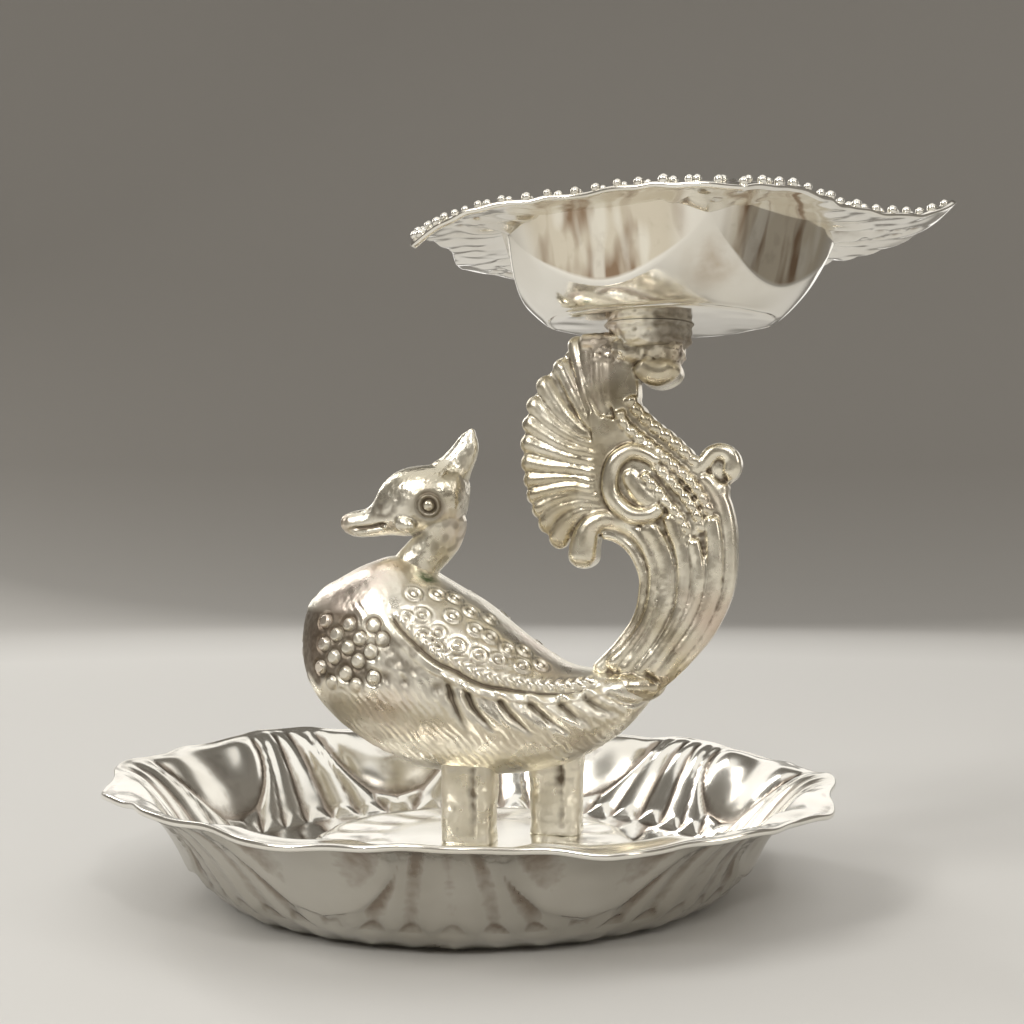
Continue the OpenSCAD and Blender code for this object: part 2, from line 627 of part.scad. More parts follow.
module lamp_cup() {
    color(polished) translate([cup_x, 0, cup_z]) difference() {
        skin(concat([for (k = [0:last_cup_ring]) cup_ring(k, 0)],
                    [for (k = [last_cup_ring:-1:0]) cup_ring(k, 1)]));
        translate([0, 0, -overrun])
            cylinder(h = cup_wall + 2 * overrun, d = screw_d + 2 * screw_clear, $fn = round_fn);
    }
}

// Screw with its head's seat at the origin and its shank going down
module screw(shank_l) {
    difference() {
        union() {
            cylinder(h = screw_head_h, d = screw_head_d, $fn = round_fn);
            translate([0, 0, -shank_l]) cylinder(h = shank_l + screw_head_h / 2, d = screw_d, $fn = round_fn);
        }
        translate([-screw_head_d, -screw_slot / 2, screw_head_h - screw_slot_depth])
            cube([2 * screw_head_d, screw_slot, screw_head_h]);
    }
}

module washer() {
    difference() {
        cylinder(h = washer_t, d = washer_d, $fn = round_fn);
        translate([0, 0, -overrun])
            cylinder(h = washer_t + 2 * overrun, d = screw_d + 2 * screw_clear, $fn = round_fn);
    }
}

module cup_screw() {
    color(steel) translate([cup_x, 0, cup_z + cup_wall + washer_t]) screw(cup_screw_l);
}

module cup_washer() {
    color(steel) translate([cup_x, 0, cup_z + cup_wall]) washer();
}

module leg_screws() {
    color(steel) at_legs() translate([0, 0, rosette_h - plate_wall - washer_t])
        mirror([0, 0, 1]) screw(leg_screw_l);
}

module leg_washers() {
    color(steel) at_legs() translate([0, 0, rosette_h - plate_wall - washer_t]) washer();
}

base_plate();
left_leg();
right_leg();
body_left_shell();
body_right_shell();
head_and_neck();
scroll_tail();
cup_boss();
lamp_cup();
cup_screw();
cup_washer();
leg_screws();
leg_washers();
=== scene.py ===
import math

import bpy
import numpy as np
from mathutils import Matrix, Vector


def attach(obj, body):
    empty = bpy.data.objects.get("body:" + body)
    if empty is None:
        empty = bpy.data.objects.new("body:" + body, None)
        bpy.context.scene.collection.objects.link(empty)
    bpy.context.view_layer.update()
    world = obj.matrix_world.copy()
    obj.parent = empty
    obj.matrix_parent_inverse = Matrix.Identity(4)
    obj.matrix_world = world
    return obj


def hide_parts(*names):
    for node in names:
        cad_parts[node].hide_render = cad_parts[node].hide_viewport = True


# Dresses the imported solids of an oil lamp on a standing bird. Shapes are worked out in
# millimetres, in the frame of the solids, and become metres when a mesh becomes a piece.

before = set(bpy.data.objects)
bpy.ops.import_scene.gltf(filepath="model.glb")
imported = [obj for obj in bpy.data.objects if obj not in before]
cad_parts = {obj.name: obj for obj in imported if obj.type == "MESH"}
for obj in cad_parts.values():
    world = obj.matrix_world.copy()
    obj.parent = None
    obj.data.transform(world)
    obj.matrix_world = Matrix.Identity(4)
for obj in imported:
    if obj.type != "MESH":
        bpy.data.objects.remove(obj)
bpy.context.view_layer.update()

MM = 0.001
TAU = 2 * math.pi

# Sizes of the solids, in millimetres
PLATE_D = 100.0
PLATE_H = 16.1
PLATE_FOOT_D = 62.0
PLATE_FOOT_BAND = 4.0
PLATE_WALL = 0.8
ROSETTE_D = 42.0
ROSETTE_H = 7.2
PLATE_FANS = 8
PLATE_SCALLOP = 1.4
PLATE_SWAY = 0.9
PLATE_TURN = math.radians(10)
BODY_L = 50.6
BODY_H = 30.4
BODY_W = 24.4
BREAST_X = 24.8
BODY_WALL = 1.4
BELLY_Z = 16.1
HEAD_H = 14.6
HEAD_L = 18.6
HEAD_W = 10.0
HEAD_BACK_X = -0.765
HEAD_BASE_Z = 44.905
LEG_W = 7.6
LEG_T = 6.0
LEG_TOP_Z = 18.6
LEG_CENTRES = ((0.55, -4.2), (11.25, 4.2))
BOSS_X = 24.764
BOSS_Z = 74.868
BOSS_D = 12.4
BOSS_H = 3.4
CUP_X = 26.5
CUP_Z = 78.268
CUP_TIP_D = 75.2
CUP_BOTTOM_D = 30.6
CUP_VALLEY_D = 58.4
CUP_H = 12.8
CUP_PINCH_H = 9.8
WINDOW_LOW_H = 2.3
CUP_WALL = 0.7
PETALS = 5
PETAL_TURN = math.radians(20.3)
SEAM = 0.025
SOLDER_GAP = 0.05

# How finely the skins are divided
PLATE_COLUMNS = 432
BODY_STATIONS = 340
BODY_ARCS = 240
HEAD_VOXEL = 0.14
TAIL_VOXEL = 0.207
EASING_ROUNDS = 4
CUP_COLUMNS = 560

# Distance between the beads on the brim
BEAD_PITCH = 3.1

# The photograph's camera, in millimetres of the same frame, and its pixels
EYE = np.array([47.2, -195.7, 48.7])
AZIMUTH = math.radians(12)
AHEAD = np.array([-math.sin(AZIMUTH), math.cos(AZIMUTH), 0.0])
RIGHT = np.array([math.cos(AZIMUTH), math.sin(AZIMUTH), 0.0])
UP = np.array([0.0, 0.0, 1.0])
FRAME_PX = 1024
FOCAL_PX = 1425.0
HORIZON_ROW = 540.0
SENSOR_MM = 36.0


# Curves and noise


def through(xs, ys, x):
    """Smooth curve through given points: cubic Hermite pieces with central-difference slopes."""
    xs, ys = np.asarray(xs, float), np.asarray(ys, float)
    slopes = np.gradient(ys, xs)
    x = np.clip(x, xs[0], xs[-1])
    i = np.clip(np.searchsorted(xs, x, side="right") - 1, 0, len(xs) - 2)
    h = xs[i + 1] - xs[i]
    t = (x - xs[i]) / h
    return ((2 * t**3 - 3 * t**2 + 1) * ys[i] + (t**3 - 2 * t**2 + t) * h * slopes[i]
            + (3 * t**2 - 2 * t**3) * ys[i + 1] + (t**3 - t**2) * h * slopes[i + 1])


def run_length(points):
    """Distance along a line of points, from its first point."""
    steps = np.linalg.norm(np.diff(points, axis=0), axis=1)
    return np.concatenate([[0.0], np.cumsum(steps)])


def curve(points, step):
    """Even points about one step apart on a smooth line through given points. Columns after
    the third are sizes that are carried along."""
    points = np.asarray(points, float)
    s = run_length(points[:, :3])
    fine = np.linspace(0, s[-1], 8 * max(8, int(s[-1] / step)))
    line = np.stack([through(s, points[:, k], fine) for k in range(points.shape[1])], 1)
    s = run_length(line[:, :3])
    even = np.linspace(0, s[-1], max(4, int(round(s[-1] / step)) + 1))
    return np.stack([np.interp(even, s, line[:, k]) for k in range(line.shape[1])], 1)


def ripple(points, size, seed, waves=16):
    """Soft random field from -1 to 1: the mean of sine waves in random directions whose
    wavelengths lie around the given size."""
    draw = np.random.default_rng(seed)
    way = draw.normal(size=(waves, 3))
    way /= np.linalg.norm(way, axis=1)[:, None]
    way *= TAU / (size * draw.uniform(0.75, 1.4, (waves, 1)))
    shift = draw.uniform(0, TAU, waves)
    flat = points.reshape(-1, 3)
    total = np.zeros(len(flat))
    for k in range(waves):
        total += np.sin(flat @ way[k] + shift[k])
    return (total / math.sqrt(waves) / 1.4).reshape(points.shape[:-1])


def hump(distance, width):
    """Bell that is 1 at distance zero and about a third at one width."""
    return np.exp(-(distance / width) ** 2)


def ease(value):
    """Smooth step from 0 to 1."""
    value = np.clip(value, 0, 1)
    return value * value * (3 - 2 * value)


def rays(pixels):
    """Directions from the camera through pixels of the photograph."""
    pixels = np.asarray(pixels, float)
    across = (pixels[:, :1] - FRAME_PX / 2) / FOCAL_PX
    up = (HORIZON_ROW - pixels[:, 1:2]) / FOCAL_PX
    return AHEAD + RIGHT * across + UP * up


def on_plane(pixels, y):
    """Points where the rays through those pixels meet the upright plane at that y."""
    way = rays(pixels)
    return EYE + way * ((np.asarray(y) - EYE[1]) / way[:, 1])[:, None]


def to_line(points, line):
    """Distance from each point to a line of points, the run along it of the nearest spot, and
    that spot."""
    flat = points.reshape(-1, 3)
    best = np.full(len(flat), np.inf)
    run = np.zeros(len(flat))
    spot = np.zeros_like(flat)
    lengths = run_length(line)
    for k in range(len(line) - 1):
        a, b = line[k], line[k + 1]
        t = np.clip((flat - a) @ (b - a) / max((b - a) @ (b - a), 1e-12), 0, 1)
        near = a + t[:, None] * (b - a)
        gap = np.linalg.norm(flat - near, axis=1)
        hit = gap < best
        best[hit], spot[hit] = gap[hit], near[hit]
        run[hit] = lengths[k] + t[hit] * (lengths[k + 1] - lengths[k])
    shape = points.shape[:-1]
    return best.reshape(shape), run.reshape(shape), spot.reshape(points.shape)


def to_spots(points, spots):
    """Distance from each point to the nearest of several spots."""
    flat = points.reshape(-1, 3)
    best = np.full(len(flat), np.inf)
    for spot in spots:
        best = np.minimum(best, np.linalg.norm(flat - spot, axis=1))
    return best.reshape(points.shape[:-1])


# Skins


def grid_faces(rows, cols):
    """Quads between neighbouring rows of a grid of points whose columns join up."""
    r = np.arange(rows - 1)[:, None]
    c = np.arange(cols)[None, :]
    n = (c + 1) % cols
    a, b = r * cols + c, r * cols + n
    return np.stack([a, b, b + cols, a + cols], -1).reshape(-1, 4)


def volume(points, quads, tris):
    """Signed volume inside a closed skin, from its triangles' pyramids with the origin."""
    faces = np.concatenate([tris, quads[:, [0, 1, 2]], quads[:, [0, 2, 3]]])
    a, b, c = (points[faces[:, k]] for k in range(3))
    return np.sum(a * np.cross(b, c)) / 6


def skin(points, quads, tris):
    """A closed skin with its faces turned outwards."""
    if volume(points, quads, tris) < 0:
        quads, tris = quads[:, ::-1], tris[:, ::-1]
    return points, quads, tris


def lofted(rings):
    """Closed skin over rings of points: quads between rings, and a fan over each end."""
    rows, cols = rings.shape[:2]
    ends = np.stack([rings[0].mean(0), rings[-1].mean(0)])
    points = np.concatenate([rings.reshape(-1, 3), ends])
    c = np.arange(cols)
    n = (c + 1) % cols
    last = (rows - 1) * cols
    first_fan = np.stack([np.full(cols, rows * cols), n, c], 1)
    last_fan = np.stack([np.full(cols, rows * cols + 1), last + c, last + n], 1)
    return skin(points, grid_faces(rows, cols), np.concatenate([first_fan, last_fan]))


def joined(skins):
    """Several skins as one list of points and faces."""
    points, quads, tris, start = [], [], [], 0
    for p, q, t in skins:
        points.append(p)
        quads.append(q + start)
        tris.append(t + start)
        start += len(p)
    return np.concatenate(points), np.concatenate(quads), np.concatenate(tris)


def mesh_of(name, points, quads, tris):
    """A Blender mesh of those points and faces, smooth shaded."""
    mesh = bpy.data.meshes.new(name)
    mesh.vertices.add(len(points))
    mesh.vertices.foreach_set("co", points.astype(np.float32).ravel())
    loops = np.concatenate([quads.ravel(), tris.ravel()]).astype(np.int32)
    mesh.loops.add(len(loops))
    mesh.loops.foreach_set("vertex_index", loops)
    starts = np.concatenate([np.arange(len(quads)) * 4,
                             len(quads) * 4 + np.arange(len(tris)) * 3])
    mesh.polygons.add(len(starts))
    mesh.polygons.foreach_set("loop_start", starts.astype(np.int32))
    mesh.polygons.foreach_set("use_smooth", np.ones(len(starts), bool))
    mesh.update(calc_edges=True)
    return mesh


def in_scene(name, data):
    """A new object with that data, linked to the scene."""
    thing = bpy.data.objects.new(name, data)
    bpy.context.scene.collection.objects.link(thing)
    return thing


def read_mesh(mesh):
    """Points, edges and point normals of a mesh."""
    points = np.empty(len(mesh.vertices) * 3, np.float32)
    mesh.vertices.foreach_get("co", points)
    edges = np.empty(len(mesh.edges) * 2, np.int32)
    mesh.edges.foreach_get("vertices", edges)
    normals = np.empty(len(mesh.vertices) * 3, np.float32)
    mesh.vertex_normals.foreach_get("vector", normals)
    return (points.reshape(-1, 3).astype(float), edges.reshape(-1, 2),
            normals.reshape(-1, 3).astype(float))


def relaxed(points, edges, rounds, share=0.5):
    """Points after rounds in which each moves a share of the way to its neighbours' mean."""
    a, b = edges[:, 0], edges[:, 1]
    n = len(points)
    count = np.maximum(np.bincount(edges.ravel(), minlength=n), 1)[:, None]
    for _ in range(rounds):
        total = np.stack([np.bincount(a, points[b, k], n) + np.bincount(b, points[a, k], n)
                          for k in range(points.shape[1])], 1)
        points = points + share * (total / count - points)
    return points


def finish_piece(name, mesh, nodes, material, reach=24, marks=None):
    """Puts a mesh in millimetres into the scene as one piece. Its attribute hollow holds how
    deep, in millimetres, each point lies below the mean of the surface around it. Marks are
    further point attributes, by name."""
    points, edges, normals = read_mesh(mesh)
    mean = relaxed(points, edges, reach)
    marks = {"hollow": np.sum((mean - points) * normals, axis=1), **(marks or {})}
    mesh.transform(Matrix.Scale(MM, 4))
    for mark, values in marks.items():
        layer = mesh.attributes.new(mark, "FLOAT", "POINT")
        layer.data.foreach_set("value", values.astype(np.float32))
    mesh.materials.append(material)
    piece = in_scene(name, mesh)
    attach(piece, "root")
    if nodes:
        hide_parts(*nodes)


def add_piece(name, skins, nodes, material, reach=24, marks=None):
    """A piece from one or more closed skins."""
    mesh = mesh_of(name, *joined(skins))
    finish_piece(name, mesh, nodes, material, reach, marks)


def sideways(rings, x=0.0, y=0.0):
    """Level unit directions from an upright axis to each point."""
    way = (rings - np.array([x, y, 0])) * np.array([1, 1, 0])
    return way / np.linalg.norm(way, axis=-1, keepdims=True)


def round_rings(r, z, turn):
    """Rings of points from radii and heights at each turn about the upright axis."""
    return np.stack(np.broadcast_arrays(r * np.cos(turn), r * np.sin(turn), z), -1)


def with_poles(grid):
    """Values of a lofted grid of points, with zeros for the two points at its ends."""
    return np.concatenate([grid.ravel(), [0.0, 0.0]])


def fused(name, skins, voxel):
    """One skin over overlapping closed skins: a voxel remesh, then a few rounds of easing that
    shrink and swell by turns, so that the size stays."""
    raw = in_scene(name, mesh_of(name, *joined(skins)))
    remesh = raw.modifiers.new("fuse", "REMESH")
    remesh.mode = "VOXEL"
    remesh.voxel_size = voxel
    remesh.use_smooth_shade = True
    graph = bpy.context.evaluated_depsgraph_get()
    mesh = bpy.data.meshes.new_from_object(raw.evaluated_get(graph))
    old = raw.data
    bpy.data.objects.remove(raw)
    bpy.data.meshes.remove(old)
    points, edges, _ = read_mesh(mesh)
    for _ in range(EASING_ROUNDS):
        points = relaxed(relaxed(points, edges, 1, 0.5), edges, 1, -0.52)
    put_points(mesh, points)
    return mesh


def put_points(mesh, points):
    """Writes new places of a mesh's points."""
    mesh.vertices.foreach_set("co", points.astype(np.float32).ravel())
    mesh.update()


def normals_of(grid, closed):
    """Unit normals of a grid of points, from its differences along rows and columns."""
    down = np.gradient(grid, axis=0)
    if closed:
        across = (np.roll(grid, -1, 1) - np.roll(grid, 1, 1)) / 2
    else:
        across = np.gradient(grid, axis=1)
    normal = np.cross(across, down)
    return normal / np.maximum(np.linalg.norm(normal, axis=-1, keepdims=True), 1e-9)


def bar(path, step=0.3, sides=20, crown=1.0, beads=None):
    """Bar along a line in the X-Z plane, given as rows x, z, half width, half thickness. Each
    ring is two half ellipses that stand apart along Y, as high as the half width times crown,
    so the thickness is kept and the faces are rounded. The ends close like half ellipses, and
    beads, as a pitch and a depth share, swells and pinches it along its run."""
    rows = np.asarray(path, float)
    line = curve(np.insert(rows, 1, 0.0, axis=1), step)
    s = run_length(line[:, :3])
    round_r = [min(line[0, 3], s[-1] / 3), min(line[-1, 3], s[-1] / 3)]
    turn = np.linspace(0, math.pi / 2, 7)[:-1]
    inner = s[(s > round_r[0]) & (s < s[-1] - round_r[1])]
    stops = np.concatenate([round_r[0] * (1 - np.cos(turn)), inner,
                            (s[-1] - round_r[1] * (1 - np.cos(turn)))[::-1]])
    line = np.stack([np.interp(stops, s, line[:, k]) for k in range(5)], 1)
    rise = np.minimum(stops / round_r[0], (s[-1] - stops) / round_r[1])
    shrink = np.sqrt(np.clip(1 - (1 - np.clip(rise, 0, 1)) ** 2, 0.0009, 1))
    bead = np.ones(len(stops))
    if beads:
        pitch, depth = beads
        phase = 2 * ((stops / pitch) % 1) - 1
        bead = 1 - depth * np.abs(phase) ** 2.5
    tangent = np.gradient(line[:, [0, 2]], axis=0)
    tangent /= np.maximum(np.linalg.norm(tangent, axis=1), 1e-9)[:, None]
    a = (np.arange(sides) + 0.5) * TAU / sides
    across = np.cos(a)[None, :] * (line[:, 3] * shrink * bead)[:, None]
    cap = line[:, 3] * crown * shrink * bead
    core = np.clip(line[:, 4] - line[:, 3] * crown, 0, None) * shrink
    deep = np.sin(a)[None, :] * cap[:, None] + np.sign(np.sin(a))[None, :] * core[:, None]
    return lofted(np.stack([line[:, 0:1] - across * tangent[:, 1:2], deep,
                            line[:, 2:3] + across * tangent[:, 0:1]], -1))


def ribbon(left, right, left_t, right_t):
    """Web between two lines in the X-Z plane, with a half thickness along each line."""
    left, right = (np.asarray(side, float) for side in (left, right))
    corners = ((left, -left_t), (right, -right_t), (right, right_t), (left, left_t))
    return lofted(np.stack([np.insert(side, 1, y, axis=1) for side, y in corners], 1))


def blade(front, back, half_t, sides=28, rows=40):
    """Solid between a front and a back line in the X-Z plane, with elliptic sections whose
    half thickness along Y runs through the given values from root to tip."""
    at = np.linspace(0, 1, rows)
    lines = [np.stack([through(np.linspace(0, 1, len(side)), np.asarray(side, float)[:, k], at)
                       for k in (0, 1)], 1) for side in (front, back)]
    middle, reach = (lines[0] + lines[1]) / 2, (lines[0] - lines[1]) / 2
    thick = through(np.linspace(0, 1, len(half_t)), half_t, at)
    a = np.arange(sides) * TAU / sides
    return lofted(np.stack(np.broadcast_arrays(
        middle[:, :1] + reach[:, :1] * np.cos(a), thick[:, None] * np.sin(a),
        middle[:, 1:] + reach[:, 1:] * np.cos(a)), -1))


def ball(centre, radii, rows=14, sides=20):
    """Closed ellipsoid."""
    rise = np.linspace(0.12, math.pi - 0.12, rows)[:, None]
    a = np.arange(sides) * TAU / sides
    shape = round_rings(np.sin(rise), np.cos(rise), a)
    return lofted(np.asarray(centre) + shape * np.asarray(radii))


# Materials


class Nodes:
    """Short calls that add shader nodes to one material."""

    def __init__(self, name):
        """An empty material with a principled shader, read in object coordinates."""
        self.material = bpy.data.materials.new(name)
        self.material.use_nodes = True
        self.tree = self.material.node_tree
        self.tree.nodes.clear()
        self.shader = self.add("ShaderNodeBsdfPrincipled")
        out = self.add("ShaderNodeOutputMaterial")
        self.tree.links.new(self.shader.outputs[0], out.inputs[0])
        self.where = self.add("ShaderNodeTexCoord").outputs["Object"]

    def add(self, kind):
        """A new node of that kind."""
        return self.tree.nodes.new(kind)

    def put(self, socket, value):
        """Links a node's output to a socket, or sets a plain value."""
        if isinstance(value, bpy.types.NodeSocket):
            self.tree.links.new(value, socket)
        else:
            socket.default_value = value

    def noise(self, size, detail=3.0, stretch=None):
        """Noise whose blobs are about that many millimetres across."""
        node = self.add("ShaderNodeTexNoise")
        where = self.where
        if stretch:
            mapping = self.add("ShaderNodeMapping")
            mapping.inputs["Scale"].default_value = stretch
            self.put(mapping.inputs["Vector"], where)
            where = mapping.outputs[0]
        self.put(node.inputs["Vector"], where)
        node.inputs["Scale"].default_value = 0.5 / (size * MM)
        node.inputs["Detail"].default_value = detail
        return node.outputs["Fac"]

    def pits(self, size):
        """Distance to scattered cell centres about that many millimetres apart."""
        node = self.add("ShaderNodeTexVoronoi")
        self.put(node.inputs["Vector"], self.where)
        node.inputs["Scale"].default_value = 1 / (size * MM)
        return node.outputs["Distance"]

    def attribute(self, name):
        """A point attribute of the piece."""
        node = self.add("ShaderNodeAttribute")
        node.attribute_name = name
        return node.outputs["Fac"]

    def span(self, value, low, high, to_low=0.0, to_high=1.0):
        """Value from low to high, turned into to_low to to_high, and held there outside."""
        node = self.add("ShaderNodeMapRange")
        for key, number in (("Value", value), ("From Min", low), ("From Max", high),
                            ("To Min", to_low), ("To Max", to_high)):
            self.put(node.inputs[key], number)
        return node.outputs[0]

    def maths(self, kind, a, b):
        """Sum, product or greater of two values, as the kind says."""
        node = self.add("ShaderNodeMath")
        node.operation = kind
        self.put(node.inputs[0], a)
        self.put(node.inputs[1], b)
        return node.outputs[0]

    def times(self, a, b):
        """Product of two values."""
        return self.maths("MULTIPLY", a, b)

    def blend(self, share, a, b):
        """Colour that goes from a to b by a share."""
        node = self.add("ShaderNodeMix")
        node.data_type = "RGBA"
        self.put(node.inputs[0], share)
        self.put(node.inputs[6], a if isinstance(a, bpy.types.NodeSocket) else (*a, 1))
        self.put(node.inputs[7], b if isinstance(b, bpy.types.NodeSocket) else (*b, 1))
        return node.outputs[2]

    def near(self, spot, radius, soft=0.6):
        """1 at a spot, in millimetres, and 0 from that radius outwards."""
        node = self.add("ShaderNodeVectorMath")
        node.operation = "DISTANCE"
        self.put(node.inputs[0], self.where)
        node.inputs[1].default_value = tuple(float(v) * MM for v in spot)
        return self.span(node.outputs["Value"], radius * MM, radius * (1 - soft) * MM)

    def bump(self, height, strength, distance, under=None):
        """Normal of a relief that many millimetres high, over another normal."""
        node = self.add("ShaderNodeBump")
        node.inputs["Strength"].default_value = strength
        node.inputs["Distance"].default_value = distance * MM
        self.put(node.inputs["Height"], height)
        if under is not None:
            self.put(node.inputs["Normal"], under)
        return node.outputs[0]

    def done(self, colour, roughness, normal=None, metallic=1.0):
        """Connects the finish and gives the material."""
        self.put(self.shader.inputs["Base Color"], colour)
        self.put(self.shader.inputs["Roughness"], roughness)
        self.shader.inputs["Metallic"].default_value = metallic
        if normal is not None:
            self.put(self.shader.inputs["Normal"], normal)
        return self.material


BRIGHT_SILVER = (0.94, 0.90, 0.79)
SOFT_SILVER = (0.64, 0.59, 0.47)
WARM_SILVER = (0.58, 0.51, 0.37)
BROWN_TARNISH = (0.125, 0.092, 0.06)
PINK_TARNISH = (0.74, 0.58, 0.50)
# Darker dull grey of the plate's outside: an unpolished skin with painted shade.
SHADED_DULL_SILVER = (0.34, 0.315, 0.27)


def cast_silver(name, roughness=0.31, tarnish=0.20, bright=BRIGHT_SILVER, soft=SOFT_SILVER,
                tints=(), pitted=0.12, grain=0.03):
    """Cast silver: bright on the high spots, brown in the hollows, where it is soiled and where
    painted shade is marked, clouded in soft patches, with a fine cast grain and small pits."""
    n = Nodes(name)
    clouds = n.noise(5.0, 4.0)
    fine = n.noise(0.5, 4.0)
    hollow = n.attribute("hollow")
    dark = n.span(n.maths("ADD", hollow, n.span(fine, 0.3, 0.7, -0.03, 0.03)), 0.012, tarnish)
    # Marked soil and painted shade: these points blend towards brown.
    soil_and_shade = n.times(n.attribute("soil_and_shade"), n.span(fine, 0.25, 0.6, 0.78, 1.0))
    dark = n.maths("MAXIMUM", dark, soil_and_shade)
    colour = n.blend(n.span(clouds, 0.40, 0.62), bright, soft)
    colour = n.blend(n.span(n.noise(7.0, 3.0), 0.55, 0.70, 0.0, 0.55), colour, PINK_TARNISH)
    for spot, radius, tint, share in tints:
        mask = n.times(n.near(spot, radius), n.span(fine, 0.35, 0.6, 0.2, share))
        colour = n.blend(mask, colour, tint)
    colour = n.blend(n.times(dark, 0.9), colour, BROWN_TARNISH)
    uneven = n.span(n.noise(1.6, 4.0), 0.35, 0.65, roughness - 0.06, roughness + 0.08)
    rough = n.maths("ADD", uneven, n.times(dark, 0.2))
    normal = n.bump(n.noise(0.42, 4.0), 0.6, grain)
    normal = n.bump(n.span(n.pits(1.3), 0.02, 0.14), pitted, 0.03, normal)
    return n.done(colour, rough, normal)


def sheet_silver(name, roughness=0.12, tarnish=0.16, tints=(), wave=0.12):
    """Polished silvered sheet: soft beaten waves, faint rubbing lines, brown in the folds, brown
    and pale upright streaks of painted reflection where marked, and a darker dull skin with painted
    shade where it was left unpolished."""
    n = Nodes(name)
    clouds = n.noise(9.0, 4.0)
    fine = n.noise(0.7, 3.0)
    hollow = n.attribute("hollow")
    dark = n.span(n.maths("ADD", hollow, n.span(fine, 0.3, 0.7, -0.03, 0.03)), 0.02, tarnish)
    colour = n.blend(n.span(clouds, 0.40, 0.68), (0.94, 0.92, 0.86), (0.82, 0.785, 0.705))
    # Painted shade on an unpolished skin: where marked, the sheet turns a darker dull grey.
    unpolished_and_shaded = n.times(n.attribute("soil_and_shade"), n.span(clouds, 0.3, 0.7, 0.8, 1.0))
    colour = n.blend(unpolished_and_shaded, colour, SHADED_DULL_SILVER)
    # Painted reflection: in the cup's windows, brown and pale upright streaks stand in for
    # reflected surroundings.
    reflection_streaks = n.noise(1.6, 2.0, (1.0, 1.0, 0.05))
    reflection_mask = n.attribute("painted_reflection")
    colour = n.blend(n.times(reflection_mask, 0.75), colour, (0.64, 0.57, 0.44))
    brown = n.span(reflection_streaks, 0.45, 0.60)
    colour = n.blend(n.times(reflection_mask, brown), colour, (0.30, 0.21, 0.14))
    pale = n.span(n.noise(2.2, 2.0, (1.0, 1.0, 0.10)), 0.54, 0.62, 0.0, 0.8)
    colour = n.blend(n.times(reflection_mask, pale), colour, (0.86, 0.83, 0.74))
    colour = n.blend(n.times(dark, 0.8), colour, (0.25, 0.19, 0.14))
    blots = n.noise(2.0, 3.0)
    # On the cup these coloured spots are painted reflections.
    for spot, radius, tint, share in tints:
        mask = n.times(n.near(spot, radius, 1.0), n.span(blots, 0.38, 0.6, 0.0, share))
        colour = n.blend(mask, colour, tint)
    rough = n.maths("ADD", n.span(clouds, 0.35, 0.7, roughness - 0.04, roughness + 0.08),
                    n.times(n.maths("MAXIMUM", dark, unpolished_and_shaded), 0.07))
    normal = n.bump(n.noise(5.5, 1.0), 0.6, wave)
    normal = n.bump(n.noise(0.5, 3.0, (1.0, 1.0, 0.12)), 0.2, 0.012, normal)
    return n.done(colour, rough, normal)


def steel(name):
    """Plain steel fastener: turned marks, oily darkening and a dull polish."""
    n = Nodes(name)
    rings = n.noise(0.35, 4.0, (1.0, 1.0, 6.0))
    colour = n.blend(n.span(n.noise(1.6, 4.0), 0.4, 0.65), (0.58, 0.58, 0.58), (0.36, 0.35, 0.34))
    return n.done(colour, n.span(rings, 0.3, 0.7, 0.24, 0.42), n.bump(rings, 0.4, 0.03))


# The plate


